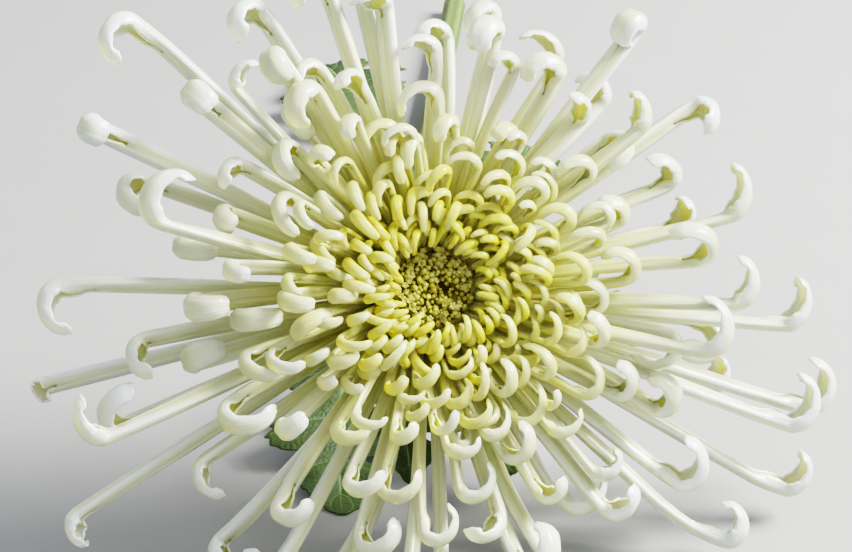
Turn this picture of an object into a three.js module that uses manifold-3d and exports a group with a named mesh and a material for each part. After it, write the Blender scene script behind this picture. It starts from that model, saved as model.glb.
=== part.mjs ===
// A cut spider chrysanthemum, lying on its side on a table.
// Units are millimetres, +Z is up, the stem runs back along +Y and the bloom faces -Y and up.
import * as THREE from 'three';
import Module from 'manifold-3d';

const DEGREE = Math.PI / 180;
const GOLDEN_ANGLE = 137.508 * DEGREE;

// Where the head lies. Its axis is lifted from the table by HEAD_LIFT.
const HEAD_X = -1.0;
const HEAD_Y = -83.1;
const HEAD_HEIGHT = 46;
const HEAD_LIFT = 35 * DEGREE;

// Receptacle, the cushion that carries every floret: [radius, height] from its foot to its top.
const RECEPTACLE_DEPTH = 9.2;
const RECEPTACLE_PROFILE = [[5.6, -9.0], [8.2, -7.6], [8.8, -5.4], [8.8, -2.6], [7.8, -0.8], [6.5, 0]];
const RECEPTACLE_SIDES = 12;

// Ray florets, from the innermost (age 0) to the outermost (age 1). Angles are in degrees.
const RULED_FLORETS = 173;
const INNERMOST_FLORETS = 90;
const MIDDLE_FLORETS = 134;
const FLORET_ROOT = { innerRadius: 7.0, outerRadius: 9.1, innerHeight: 0, outerHeight: -6.2 };
const ROOT_SUNK = 1.9;
const STALK_LENGTH = { inner: 6.2, outer: 45, power: 1.9 };
const LEAN = { inner: 19, outer: 94, power: 1.1, arch: 8, scatter: 7 };
const HOOK_RADIUS = { inner: 1.5, outer: 4.0, power: 0.95 };
const HOOK_TURN = { least: 140, most: 225 };
const HOOK_TIGHTNESS = { least: 1.1, most: 1.9, long: 1.35 };
const HOOK_SIDE = { inner: 25, outer: 68, power: 0.6, left: 42, scatter: 30 };
const BACKWARD_HOOKS = 0.08;
const SIDE_SWEEP = 12;
const AROUND_SCATTER = 3;
const LENGTH_SCATTER = 0.12;
const RADIUS_SCATTER = 0.25;
const GIRTH_SCATTER = 0.14;
const BASE_WIDTH = { inner: 1.0, outer: 1.3 };
const MOUTH_WIDTH = { inner: 1.3, outer: 2.9, power: 1.25 };
const SPOON_WIDENING = { inner: 1.1, outer: 1.25 };
const STALK_SWELL = 1.5;
const STALK_FLATNESS = { base: 0.9, mouth: 0.66 };
const SPOON_FLATNESS = 0.4;
const SPOON_OPEN_BY = 0.25;
const SPOON_CLOSES_FROM = 0.25;
const SPOON_CLOSING = 1.1;
const FLORET_LEAST_DEPTH = 0.7;

// Each ruled floret is the least crowded of a few candidates.
const CANDIDATES = 12;
const PRESSING_SHARE = 0.45;
const CROWDED_FROM_STEP = 8;
const FLORET_SEED = 2024;

// The longest florets: direction round the head and lean from its axis in degrees, stalk length
// and hook radius in millimetres, hook turn and the side that it curls to in degrees.
const LONG_FLORETS = [
  { around: 172, lean: 88, length: 53, radius: 4.2, turn: 175, side: 78 },
  { around: 147, lean: 88, length: 54, radius: 2.0, turn: 250, side: 18 },
  { around: 131, lean: 84, length: 58, radius: 4.2, turn: 185, side: 74 },
  { around: 161, lean: 70, length: 41, radius: 4.6, turn: 195, side: -80 },
  { around: -163, lean: 80, length: 52, radius: 4.4, turn: 140, side: -76 },
  { around: -155, lean: 96, length: 61, radius: 3.2, turn: 130, side: 70 },
  { around: -174, lean: 102, length: 58, radius: 3.0, turn: 60, side: 40 },
  { around: 134, lean: 80, length: 42, radius: 3.4, turn: 190, side: 10 },
  { around: 118, lean: 72, length: 39, radius: 2.2, turn: 280, side: 40 },
  { around: 116, lean: 64, length: 32, radius: 3.4, turn: 205, side: 66 },
  { around: 101, lean: 86, length: 46, radius: 3.6, turn: 190, side: 66 },
  { around: 94, lean: 92, length: 52, radius: 3.4, turn: 160, side: 66 },
  { around: 69, lean: 74, length: 36, radius: 3.6, turn: 200, side: 30 },
  { around: 52, lean: 70, length: 34, radius: 3.4, turn: 200, side: 60 },
  { around: 44, lean: 78, length: 49, radius: 2.4, turn: 290, side: 40 },
  { around: 30, lean: 72, length: 37, radius: 4.4, turn: 110, side: 76 },
  { around: 27, lean: 86, length: 49, radius: 3.0, turn: 190, side: -50 },
  { around: 6, lean: 76, length: 45, radius: 5.4, turn: 125, side: 82 },
  { around: -11, lean: 70, length: 44, radius: 4.4, turn: 150, side: 76 },
  { around: -13, lean: 84, length: 54, radius: 5.0, turn: 135, side: 80 },
  { around: -22, lean: 66, length: 40, radius: 4.8, turn: 175, side: 80 },
  { around: -24, lean: 90, length: 62, radius: 4.6, turn: 180, side: 70 },
  { around: -28, lean: 84, length: 58, radius: 4.8, turn: 170, side: 76 },
  { around: -36, lean: 92, length: 64, radius: 4.0, turn: 150, side: 70 },
  { around: -50, lean: 86, length: 58, radius: 3.4, turn: 195, side: 80 },
  { around: -59, lean: 82, length: 39, radius: 3.6, turn: 160, side: 50 },
  { around: -76, lean: 90, length: 54, radius: 3.4, turn: 150, side: 40 },
  { around: -101, lean: 92, length: 58, radius: 3.2, turn: 130, side: 40 },
  { around: -126, lean: 90, length: 55, radius: 3.2, turn: 150, side: 60 },
];

// The table under the flower: florets and leaves bend along it instead of passing through.
const TABLE_CLEARANCE = 1.9;
const TABLE_SOFTNESS = 12;

// A floret's path has a root, the steps of its stalk and the steps of its hook. Its solid has a
// ring at a few of them.
const STALK_STEPS = 24;
const HOOK_STEPS = 24;
const INNERMOST_FORM = { sides: 3, rings: [0, 22, 29, 36, 48] };
const MIDDLE_FORM = { sides: 4, rings: [0, 23, 29, 36, 48] };
const OUTER_FORM = { sides: 4, rings: [0, 13, 23, 28, 33, 40, 48] };

// Disc florets in the eye.
const SEAT_GAP = 0.3;
const DISC_RADIUS = 6.3;
const DISC_PROFILE = [[DISC_RADIUS - 0.3, SEAT_GAP], [DISC_RADIUS, 0.8], [4.6, 1.5], [2.4, 1.8]];
const DISC_SIDES = 24;
const DISC_BUDS = 48;
const BUD_SEAT = { middle: 1.7, rim: 0.7 };
const BUD_PROFILE = [[0.34, -0.3], [0.46, 0.7], [0.16, 1.15]];

// Involucre, the cup of green bracts.
const CUP_BRACTS = 12;
const CUP_BOTTOM = -17;
const CUP_OUTSIDE = [[2.3, CUP_BOTTOM], [4.6, -16.4], [7.6, -14.2], [9.6, -11.4]];
const CUP_RIM = { radius: 10.4, tip: -8.3, notch: -9.6, thickness: 0.8, bevel: 0.3 };
const CUP_INSIDE = [[8.4, -10.1], [4.4, -RECEPTACLE_DEPTH - SEAT_GAP]];
const BRACT_RELIEF = 0.35;

// Stem.
const STEM_NECK_RADIUS = 1.9;
const STEM_RADIUS = 2.8;
const STEM_SWELLS_BY = 90;
const STEM_GROOVE = 0.93;
const STEM_STRAIGHT = 92;
const STEM_SIDES = 12;
const STEM_STEPS = 26;
const STEM_TURN = 0.35;
const STEM_TURN_LENGTH = 70;

// Leaves: where each stem joint is (millimetres from the neck), the points of its midrib measured
// from that joint, half its blade's width, the share that is stalk, and its roll in degrees.
const LEAVES = [
  { name: 'leaf_1', joint: 11, bend: [-3, -8, -9], tip: [-6, -31, -18], half: 8, stalk: 0.2, roll: 0 },
  { name: 'leaf_2', joint: 22, bend: [9, -5, -10], tip: [13, -36, -17], half: 9, stalk: 0.2, roll: 0 },
  { name: 'leaf_3', joint: 40, bend: [-14, -6, -8], tip: [-20, -47, -18], half: 14, stalk: 0.22, roll: -8 },
  { name: 'leaf_4', joint: 62, bend: [20, -6, 2], tip: [46, -24, -11], half: 18, stalk: 0.24, roll: 6 },
  { name: 'leaf_5', joint: 86, bend: [16, 8, 8], tip: [40, 34, -3], half: 17, stalk: 0.24, roll: 6 },
  { name: 'leaf_6', joint: 122, bend: [-12, 14, 10], tip: [-12, 50, 2], half: 16, stalk: 0.24, roll: -8 },
];
const LEAF_THICKNESS = 0.7;
const LEAF_BASE_THICKNESS = 1.5;
const LEAF_RIB_THICKNESS = 1.3;
const LEAF_STALK_RADIUS = 0.9;
const LEAF_STALK_ROWS = 3;
const LEAF_LEAST_HALF = 0.8;
const LEAF_FOLD = 0.16;
const LEAF_DROOP = 0.012;

// One side of a leaf's outline: [along, across] as shares of the blade's length and half width.
const LEAF_OUTLINE = [
  [0.0, 0.06], [0.06, 0.18], [0.12, 0.42], [0.2, 0.68], [0.27, 0.76], [0.32, 0.6], [0.33, 0.32],
  [0.39, 0.44], [0.47, 0.84], [0.54, 1.0], [0.61, 0.86], [0.63, 0.36], [0.68, 0.42], [0.76, 0.62],
  [0.82, 0.58], [0.88, 0.42], [0.95, 0.24], [1.0, 0.05],
];

const WHITE_FLORET = { color: 0xeef0df, roughness: 0.55, metalness: 0 };
const DISC_YELLOW = { color: 0xb0a22c, roughness: 0.75, metalness: 0 };
const BRACT_GREEN = { color: 0x6d8a45, roughness: 0.7, metalness: 0 };
const STEM_GREEN = { color: 0x6f8c4a, roughness: 0.65, metalness: 0 };
const LEAF_GREEN = { color: 0x3f6a35, roughness: 0.6, metalness: 0 };

const wasm = await Module();
wasm.setup();

// Repeatable random draws from 0 to 1.
function seededDraws(seed) {
  let state = (seed * 2654435761) % 4294967296;
  return () => {
    state = (state * 1664525 + 1013904223) % 4294967296;
    return state / 4294967296;
  };
}

function mix(from, to, share) {
  return from + (to - from) * share;
}

// Triangles that fill a ring from side to side, which suits round rings and long thin ones.
function capTriangles(sides) {
  const triangles = [];
  let low = 0;
  let high = sides - 1;
  while (high - low >= 2) {
    triangles.push([low, low + 1, high]);
    low += 1;
    if (high - low >= 2) triangles.push([low, high - 1, high]);
    high -= 1;
  }
  return triangles;
}

// Closed solid through a list of rings, all with the same number of points.
function loft(rings) {
  const sides = rings[0].length;
  const positions = [];
  const triangles = [];
  for (const ring of rings) {
    for (const point of ring) positions.push(point.x, point.y, point.z);
  }
  for (let row = 0; row + 1 < rings.length; row += 1) {
    for (let side = 0; side < sides; side += 1) {
      const here = row * sides + side;
      const next = row * sides + ((side + 1) % sides);
      triangles.push(here, next, next + sides, here, next + sides, here + sides);
    }
  }
  const last = (rings.length - 1) * sides;
  for (const [a, b, c] of capTriangles(sides)) {
    triangles.push(a, c, b, last + a, last + b, last + c);
  }
  return { positions, triangles };
}

function roundRing(radius, height, sides) {
  const ring = [];
  for (let side = 0; side < sides; side += 1) {
    const angle = 2 * Math.PI * side / sides;
    ring.push(new THREE.Vector3(radius * Math.cos(angle), radius * Math.sin(angle), height));
  }
  return ring;
}

function geometryOf({ positions, triangles }) {
  const geometry = new THREE.BufferGeometry();
  geometry.setAttribute('position', new THREE.Float32BufferAttribute(positions, 3));
  geometry.setIndex(triangles);
  geometry.computeVertexNormals();
  return geometry;
}

function solidOf({ positions, triangles }) {
  return new wasm.Manifold(new wasm.Mesh({
    numProp: 3,
    vertProperties: new Float32Array(positions),
    triVerts: new Uint32Array(triangles),
  }));
}

function geometryOfSolid(solid) {
  const mesh = solid.getMesh();
  return geometryOf({ positions: mesh.vertProperties, triangles: Array.from(mesh.triVerts) });
}

function named(name, geometry, finish) {
  const mesh = new THREE.Mesh(geometry, new THREE.MeshStandardMaterial(finish));
  mesh.name = name;
  return mesh;
}

// ---------------------------------------------------------------- ray florets

const TABLE_UP = new THREE.Vector3(0, Math.cos(HEAD_LIFT), Math.sin(HEAD_LIFT));

function heightOverTable(point) {
  return HEAD_HEIGHT + point.dot(TABLE_UP);
}

// Bends a direction so that the floret comes down on the table gently and then runs along it.
function easedOntoTable(direction, point) {
  const level = direction.clone().addScaledVector(TABLE_UP, -direction.dot(TABLE_UP));
  const room = (heightOverTable(point) - TABLE_CLEARANCE) / TABLE_SOFTNESS;
  const lowest = -room * level.length();
  if (direction.dot(TABLE_UP) >= lowest) return direction;
  return level.addScaledVector(TABLE_UP, lowest).normalize();
}

// The sizes of one floret of the spiral, with its own small differences.
function ruledFloret(index, attempt) {
  const age = index / (RULED_FLORETS - 1);
  const draw = seededDraws(FLORET_SEED + index * CANDIDATES + attempt);
  const scatter = (size) => size * (2 * draw() - 1);
  draw();
  const lean = mix(LEAN.inner, LEAN.outer, age ** LEAN.power) + scatter(LEAN.scatter);
  const length = mix(STALK_LENGTH.inner, STALK_LENGTH.outer, age ** STALK_LENGTH.power);
  const radius = mix(HOOK_RADIUS.inner, HOOK_RADIUS.outer, age ** HOOK_RADIUS.power);
  const around = index * GOLDEN_ANGLE + scatter(AROUND_SCATTER * DEGREE);
  const leftward = Math.max(0, -Math.cos(around)) * HOOK_SIDE.left * age ** 0.5;
  const middleSide = mix(HOOK_SIDE.inner, HOOK_SIDE.outer, age ** HOOK_SIDE.power) - leftward;
  const side = middleSide + scatter(HOOK_SIDE.scatter);
  return {
    age,
    around,
    lean: lean * DEGREE,
    length: length * (1 + scatter(LENGTH_SCATTER)),
    radius: radius * (1 + scatter(RADIUS_SCATTER)),
    turn: mix(HOOK_TURN.least, HOOK_TURN.most, draw()) * DEGREE,
    side: (draw() < BACKWARD_HOOKS ? -side : side) * DEGREE,
    sweep: scatter(SIDE_SWEEP) * DEGREE,
    girth: 1 + scatter(GIRTH_SCATTER),
    tightness: mix(HOOK_TIGHTNESS.least, HOOK_TIGHTNESS.most, draw()),
  };
}

function longFloret({ around, lean, length, radius, turn, side }) {
  return {
    age: 1,
    around: around * DEGREE,
    lean: lean * DEGREE,
    length,
    radius,
    turn: turn * DEGREE,
    side: side * DEGREE,
    sweep: 0,
    girth: 1,
    tightness: HOOK_TIGHTNESS.long,
  };
}

// Walks along a floret from its root to its tip: a gently arched stalk, then the hook, which bends
// most where it starts. The flat of the tube turns on its way up to face into the hook.
function floretPath({ age, around, lean, length, radius, turn, side, sweep, tightness }) {
  const axis = new THREE.Vector3(0, 0, 1);
  const outward = new THREE.Vector3(Math.cos(around), Math.sin(around), 0);
  const sideways = new THREE.Vector3().crossVectors(axis, outward);
  const start = lean - LEAN.arch * DEGREE;
  const along = axis.clone().multiplyScalar(Math.cos(start)).addScaledVector(outward, Math.sin(start));
  const point = outward.clone().multiplyScalar(mix(FLORET_ROOT.innerRadius, FLORET_ROOT.outerRadius, age));
  point.z = mix(FLORET_ROOT.innerHeight, FLORET_ROOT.outerHeight, age);
  point.addScaledVector(along, -ROOT_SUNK);
  const path = [{ point: point.clone(), along: along.clone(), across: sideways.clone() }];
  const stalkStep = (length + ROOT_SUNK) / STALK_STEPS;
  const archStep = (2 * LEAN.arch * DEGREE) / STALK_STEPS;
  const across = sideways.clone();
  for (let step = 0; step < STALK_STEPS; step += 1) {
    const droop = new THREE.Vector3().crossVectors(across, along);
    along.addScaledVector(droop, archStep).addScaledVector(across, sweep / STALK_STEPS).normalize();
    along.copy(easedOntoTable(along, point));
    point.addScaledVector(along, stalkStep);
    across.addScaledVector(along, -across.dot(along)).normalize();
    const turned = across.clone().applyAxisAngle(along, -side * ((step + 1) / STALK_STEPS));
    path.push({ point: point.clone(), along: along.clone(), across: turned });
  }
  const inward = new THREE.Vector3().crossVectors(along, across);
  let curl = inward.multiplyScalar(Math.cos(side)).addScaledVector(across, Math.sin(side));
  const flat = new THREE.Vector3().crossVectors(curl, along);
  const turnStep = turn / HOOK_STEPS;
  for (let step = 0; step < HOOK_STEPS; step += 1) {
    const bending = mix(tightness, 2 - tightness, (step + 0.5) / HOOK_STEPS);
    along.addScaledVector(curl, turnStep * bending).normalize();
    along.copy(easedOntoTable(along, point));
    point.addScaledVector(along, radius * turnStep);
    curl = new THREE.Vector3().crossVectors(along, flat).normalize();
    const edge = flat.clone().addScaledVector(along, -flat.dot(along)).normalize();
    path.push({ point: point.clone(), along: along.clone(), across: edge });
  }
  return path;
}

// How deep a new floret would press into those already placed.
function crowding(path, girth, placed) {
  let total = 0;
  for (let step = CROWDED_FROM_STEP; step < path.length; step += 4) {
    const { point } = path[step];
    for (const other of placed) {
      const press = girth + other.girth - point.distanceTo(other.point);
      if (press > 0) total += press * press;
    }
  }
  return total;
}

function placeFlorets() {
  const florets = [];
  const placed = [];
  const keep = (floret) => {
    floret.path.forEach(({ point }, step) => {
      if (step >= CROWDED_FROM_STEP && step % 2 === 0) placed.push({ point, girth: floret.half });
    });
    florets.push(floret);
  };
  const finished = (floret) => {
    const mouth = mix(MOUTH_WIDTH.inner, MOUTH_WIDTH.outer, floret.age ** MOUTH_WIDTH.power) * floret.girth;
    return { ...floret, mouth, half: mouth * PRESSING_SHARE, path: floretPath(floret) };
  };
  for (const sizes of LONG_FLORETS) keep(finished(longFloret(sizes)));
  for (let index = 0; index < RULED_FLORETS; index += 1) {
    let best = null;
    for (let attempt = 0; attempt < CANDIDATES; attempt += 1) {
      const floret = finished(ruledFloret(index, attempt));
      floret.index = index;
      floret.crowding = crowding(floret.path, floret.half, placed);
      if (!best || floret.crowding < best.crowding) best = floret;
    }
    keep(best);
  }
  return florets;
}

// Width and depth of a floret at a step of its path: a stalk that swells to its mouth, then a
// spoon that opens wider and flatter and closes again to its rounded tip.
function floretSection({ age, mouth }, step) {
  const base = mix(BASE_WIDTH.inner, BASE_WIDTH.outer, age);
  if (step <= STALK_STEPS) {
    const share = step / STALK_STEPS;
    const width = mix(base, mouth, 1 - (1 - share) ** STALK_SWELL);
    return { width, depth: width * mix(STALK_FLATNESS.base, STALK_FLATNESS.mouth, share) };
  }
  const share = (step - STALK_STEPS) / HOOK_STEPS;
  const spoon = mouth * mix(SPOON_WIDENING.inner, SPOON_WIDENING.outer, age);
  const opened = Math.sin(Math.PI / 2 * Math.min(1, share / SPOON_OPEN_BY));
  const closed = Math.max(0, share - SPOON_CLOSES_FROM) / (1 - SPOON_CLOSES_FROM);
  const depth = mix(STALK_FLATNESS.mouth * mouth, SPOON_FLATNESS * spoon, opened);
  return {
    width: mix(mouth, spoon, opened) * Math.cos(SPOON_CLOSING * closed),
    depth: Math.max(FLORET_LEAST_DEPTH, depth),
  };
}

function floretRing(floret, step, sides) {
  const { point, along, across } = floret.path[step];
  const { width, depth } = floretSection(floret, step);
  const swell = 1 / Math.cos(Math.PI / sides / 2);
  const facing = new THREE.Vector3().crossVectors(along, across);
  const ring = [];
  for (let side = 0; side < sides; side += 1) {
    const angle = 2 * Math.PI * side / sides;
    const corner = point.clone();
    corner.addScaledVector(across, Math.cos(angle) * swell * width / 2);
    corner.addScaledVector(facing, Math.sin(angle) * swell * depth / 2);
    const below = Math.min(0, heightOverTable(corner));
    ring.push(corner.addScaledVector(TABLE_UP, -below));
  }
  return ring;
}

function floretForm({ index }) {
  if (index < INNERMOST_FLORETS) return INNERMOST_FORM;
  return index < MIDDLE_FLORETS ? MIDDLE_FORM : OUTER_FORM;
}

function floretSolid(floret) {
  const { sides, rings } = floretForm(floret);
  return solidOf(loft(rings.map((step) => floretRing(floret, step, sides))));
}

function receptacleSolid() {
  return solidOf(loft(RECEPTACLE_PROFILE.map(([radius, height]) => (
    roundRing(radius, height, RECEPTACLE_SIDES)
  ))));
}

// One body: the receptacle with every floret. Hollows closed in between florets are filled.
function rayFlorets() {
  const pieces = [receptacleSolid()];
  for (const floret of placeFlorets()) pieces.push(floretSolid(floret));
  const bloom = wasm.Manifold.union(pieces);
  const bodies = bloom.decompose().sort((a, b) => b.volume() - a.volume());
  return named('ray_florets', geometryOfSolid(bodies[0]), WHITE_FLORET);
}

// ---------------------------------------------------------------- disc florets

function discDome() {
  return solidOf(loft(DISC_PROFILE.map(([radius, height]) => roundRing(radius, height, DISC_SIDES))));
}

// One closed bud: a small four-sided barrel with a pointed top.
function discBud(index) {
  const share = Math.sqrt((index + 0.5) / DISC_BUDS);
  const around = index * GOLDEN_ANGLE;
  const reach = (DISC_RADIUS - 0.7) * share;
  const seat = mix(BUD_SEAT.middle, BUD_SEAT.rim, share * share);
  const centre = new THREE.Vector3(reach * Math.cos(around), reach * Math.sin(around), seat);
  return solidOf(loft(BUD_PROFILE.map(([radius, height]) => (
    roundRing(radius, height, 4).map((corner) => corner.add(centre))
  ))));
}

function discFlorets() {
  const pieces = [discDome()];
  for (let index = 0; index < DISC_BUDS; index += 1) pieces.push(discBud(index));
  return named('disc_florets', geometryOfSolid(wasm.Manifold.union(pieces)), DISC_YELLOW);
}

// ---------------------------------------------------------------- involucre

// A ring of the cup. bract is 1 along the middle of a bract and 0 between two of them.
function cupRing(place) {
  const columns = CUP_BRACTS * 4;
  const ring = [];
  for (let column = 0; column < columns; column += 1) {
    const angle = 2 * Math.PI * column / columns;
    const bract = Math.abs(((column / 4) % 1) - 0.5) * 2;
    const [radius, height] = place(bract);
    ring.push(new THREE.Vector3(radius * Math.cos(angle), radius * Math.sin(angle), height));
  }
  return ring;
}

// The cup runs up the outside, over the bracts' tips and down inside. Each row of bracts stands
// over the gaps of the row below it.
function involucre() {
  const rings = CUP_OUTSIDE.map(([radius, height], row) => {
    const relief = row === 0 ? 0 : BRACT_RELIEF;
    return cupRing((bract) => [radius + relief * (row % 2 === 0 ? bract : 1 - bract), height]);
  });
  const { radius, tip, notch, thickness, bevel } = CUP_RIM;
  rings.push(cupRing((bract) => [radius, mix(notch, tip, bract)]));
  rings.push(cupRing((bract) => [radius - thickness, mix(notch, tip, bract) - bevel]));
  for (const inside of CUP_INSIDE) rings.push(cupRing(() => inside));
  return named('involucre', geometryOf(loft(rings)), BRACT_GREEN);
}

// ---------------------------------------------------------------- stem

// The stem leaves the cup along the head's axis, sinks to the table in one arc and lies straight.
const STEM_START = CUP_BOTTOM - SEAT_GAP;
const NECK = new THREE.Vector3(
  0,
  -STEM_START * Math.cos(HEAD_LIFT),
  HEAD_HEIGHT + STEM_START * Math.sin(HEAD_LIFT),
);
const ARC_RADIUS = (NECK.z - STEM_RADIUS) / (1 - Math.cos(HEAD_LIFT));
const ARC_LENGTH = ARC_RADIUS * HEAD_LIFT;
const STEM_LENGTH = ARC_LENGTH + STEM_STRAIGHT;

function stemPoint(distance) {
  const turned = Math.min(distance, ARC_LENGTH) / ARC_RADIUS;
  const slope = HEAD_LIFT - turned;
  const level = Math.max(0, distance - ARC_LENGTH);
  const y = NECK.y + ARC_RADIUS * (Math.sin(HEAD_LIFT) - Math.sin(slope)) + level;
  const z = STEM_RADIUS + ARC_RADIUS * (1 - Math.cos(slope));
  const turning = Math.max(0, Math.min(distance, STEM_TURN_LENGTH));
  const turnedOn = Math.max(0, distance - STEM_TURN_LENGTH);
  const x = STEM_TURN * (turning ** 2 / (2 * STEM_TURN_LENGTH) + turnedOn);
  return new THREE.Vector3(x, y, z);
}

function stemRadius(distance) {
  return mix(STEM_NECK_RADIUS, STEM_RADIUS, Math.min(1, distance / STEM_SWELLS_BY));
}

function stem() {
  const rings = [];
  for (let step = 0; step <= STEM_STEPS; step += 1) {
    const distance = STEM_LENGTH * step / STEM_STEPS;
    const centre = stemPoint(distance);
    const along = stemPoint(distance + 0.5).sub(stemPoint(distance - 0.5)).normalize();
    const across = new THREE.Vector3(1, 0, 0).addScaledVector(along, -along.x).normalize();
    const upward = new THREE.Vector3().crossVectors(across, along);
    const ring = [];
    for (let side = 0; side < STEM_SIDES; side += 1) {
      const angle = 2 * Math.PI * (side + 0.5) / STEM_SIDES;
      const radius = stemRadius(distance) * (side % 2 === 0 ? 1 : STEM_GROOVE);
      const point = centre.clone().addScaledVector(across, -radius * Math.cos(angle));
      ring.push(point.addScaledVector(upward, radius * Math.sin(angle)));
    }
    rings.push(ring);
  }
  return named('stem', geometryOf(loft(rings)), STEM_GREEN);
}

// ---------------------------------------------------------------- leaves

// Rows from the stem to the tip: where the rib and the edges are, as shares of the midrib, and
// half the width and the thickness there. The first rows are the leaf's stalk.
function leafRows({ half, stalk }) {
  const rows = [];
  for (let row = 0; row < LEAF_STALK_ROWS; row += 1) {
    const along = mix(0, stalk, row / LEAF_STALK_ROWS);
    rows.push({ rib: along, edge: along, across: LEAF_STALK_RADIUS, thick: 2 * LEAF_STALK_RADIUS });
  }
  LEAF_OUTLINE.forEach(([along, across], row) => {
    rows.push({
      rib: mix(stalk, 1, row / (LEAF_OUTLINE.length - 1)),
      edge: mix(stalk, 1, along),
      across: Math.max(LEAF_LEAST_HALF, across * half),
      thick: mix(LEAF_BASE_THICKNESS, LEAF_THICKNESS, Math.min(1, along * 2)),
    });
  });
  return rows;
}

// The midrib starts beside the stem, a small gap away from it, and bends down to its tip.
function leafMidrib({ joint, bend, tip }) {
  const centre = stemPoint(joint);
  const bendPoint = centre.clone().add(new THREE.Vector3(...bend));
  const tipPoint = centre.clone().add(new THREE.Vector3(...tip));
  const leaving = new THREE.Vector3(...bend).normalize();
  const stemWay = stemPoint(joint + 0.5).sub(stemPoint(joint - 0.5)).normalize();
  const slant = leaving.dot(stemWay);
  const away = leaving.clone().addScaledVector(stemWay, -slant).normalize();
  const seat = stemRadius(joint) + SEAT_GAP + LEAF_STALK_RADIUS * Math.abs(slant);
  const foot = centre.clone().addScaledVector(away, seat);
  return new THREE.QuadraticBezierCurve3(foot, bendPoint, tipPoint);
}

function leafFrame(midrib, share, roll) {
  const along = midrib.getTangentAt(share);
  const across = new THREE.Vector3().crossVectors(along, new THREE.Vector3(0, 0, 1)).normalize();
  across.applyAxisAngle(along, roll * DEGREE);
  const facing = new THREE.Vector3().crossVectors(across, along);
  return { centre: midrib.getPointAt(share), across, facing };
}

// A lobed blade on its stalk, folded up a little along the midrib and drooping at its edges.
// Each row is a closed ring: five points over the upper face and five back under it.
function leaf(sizes) {
  const midrib = leafMidrib(sizes);
  const rings = leafRows(sizes).map(({ rib, edge, across, thick }) => {
    const upper = [];
    const lower = [];
    for (const column of [-1, -0.5, 0, 0.5, 1]) {
      const frame = leafFrame(midrib, mix(rib, edge, Math.abs(column)), sizes.roll);
      const reach = column * across;
      const middle = frame.centre.clone().addScaledVector(frame.across, reach);
      const isBlade = across > LEAF_STALK_RADIUS;
      const lift = isBlade ? LEAF_FOLD * Math.abs(reach) - LEAF_DROOP * reach ** 2 : 0;
      middle.addScaledVector(frame.facing, lift);
      const rise = column === 0 ? Math.max(thick, LEAF_RIB_THICKNESS) : thick;
      middle.z = Math.max(middle.z, 0.75 * rise);
      upper.push(middle.clone().addScaledVector(frame.facing, rise / 2));
      lower.unshift(middle.clone().addScaledVector(frame.facing, -rise / 2));
    }
    return [...upper, ...lower];
  });
  return named(sizes.name, geometryOf(loft(rings)), LEAF_GREEN);
}

// ---------------------------------------------------------------- the whole flower

const head = new THREE.Group();
head.rotation.x = Math.PI / 2 - HEAD_LIFT;
head.position.z = HEAD_HEIGHT;
head.add(rayFlorets(), discFlorets(), involucre());

const flower = new THREE.Group();
flower.position.set(HEAD_X, HEAD_Y, 0);
flower.add(head, stem());
for (const sizes of LEAVES) flower.add(leaf(sizes));

export default flower;
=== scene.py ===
# A cut spider chrysanthemum lying on its side on a table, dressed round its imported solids.
# Sizes are in millimetres, in the flower's frame or in its head's; MM turns them into metres.
import math

import bpy
import numpy as np
from mathutils import Matrix, Vector


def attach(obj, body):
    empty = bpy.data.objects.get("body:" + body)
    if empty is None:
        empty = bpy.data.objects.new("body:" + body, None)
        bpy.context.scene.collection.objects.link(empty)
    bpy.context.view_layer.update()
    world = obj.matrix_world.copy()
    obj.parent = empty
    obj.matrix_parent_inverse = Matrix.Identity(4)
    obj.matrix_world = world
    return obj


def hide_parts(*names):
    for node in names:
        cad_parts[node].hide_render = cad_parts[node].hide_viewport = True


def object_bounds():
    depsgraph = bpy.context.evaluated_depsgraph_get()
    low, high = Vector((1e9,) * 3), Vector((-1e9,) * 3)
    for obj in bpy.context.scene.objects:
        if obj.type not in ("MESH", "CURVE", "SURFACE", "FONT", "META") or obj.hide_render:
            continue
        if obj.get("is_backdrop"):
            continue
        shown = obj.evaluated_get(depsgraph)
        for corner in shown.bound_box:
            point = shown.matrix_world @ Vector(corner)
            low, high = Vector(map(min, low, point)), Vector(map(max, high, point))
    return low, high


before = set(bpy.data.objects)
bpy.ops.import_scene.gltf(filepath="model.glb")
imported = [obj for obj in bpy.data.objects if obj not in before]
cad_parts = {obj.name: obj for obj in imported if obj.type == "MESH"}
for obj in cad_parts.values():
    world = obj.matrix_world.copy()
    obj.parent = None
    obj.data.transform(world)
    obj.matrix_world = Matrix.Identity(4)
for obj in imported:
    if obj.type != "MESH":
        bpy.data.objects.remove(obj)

cad_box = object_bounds()
MM = 0.001

# ---------------------------------------------------------------- stem
# The stalk that the bloom was cut with: one solid six-ribbed green stem, a little swollen at each
# leaf joint and downy. It leaves the cup along the head's axis, sinks to the table and lies
# straight to its pale cut end.
HEAD_AT = np.array([-1.0, -83.1, 46.0])
HEAD_LIFT = math.radians(35)
HEAD_AXES = np.array([
    [1, 0, 0],
    [0, math.sin(HEAD_LIFT), math.cos(HEAD_LIFT)],
    [0, -math.cos(HEAD_LIFT), math.sin(HEAD_LIFT)],
])
STEM_NECK_RADIUS = 1.9
STEM_RADIUS = 2.8
STEM_SWELLS_BY = 90
STEM_STRAIGHT = 92
STEM_TURN = 0.35
STEM_TURN_LENGTH = 70
STEM_RIBS = 6
STEM_RIB_DEPTH = 0.035
FIRST_RIB = math.radians(15)
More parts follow.
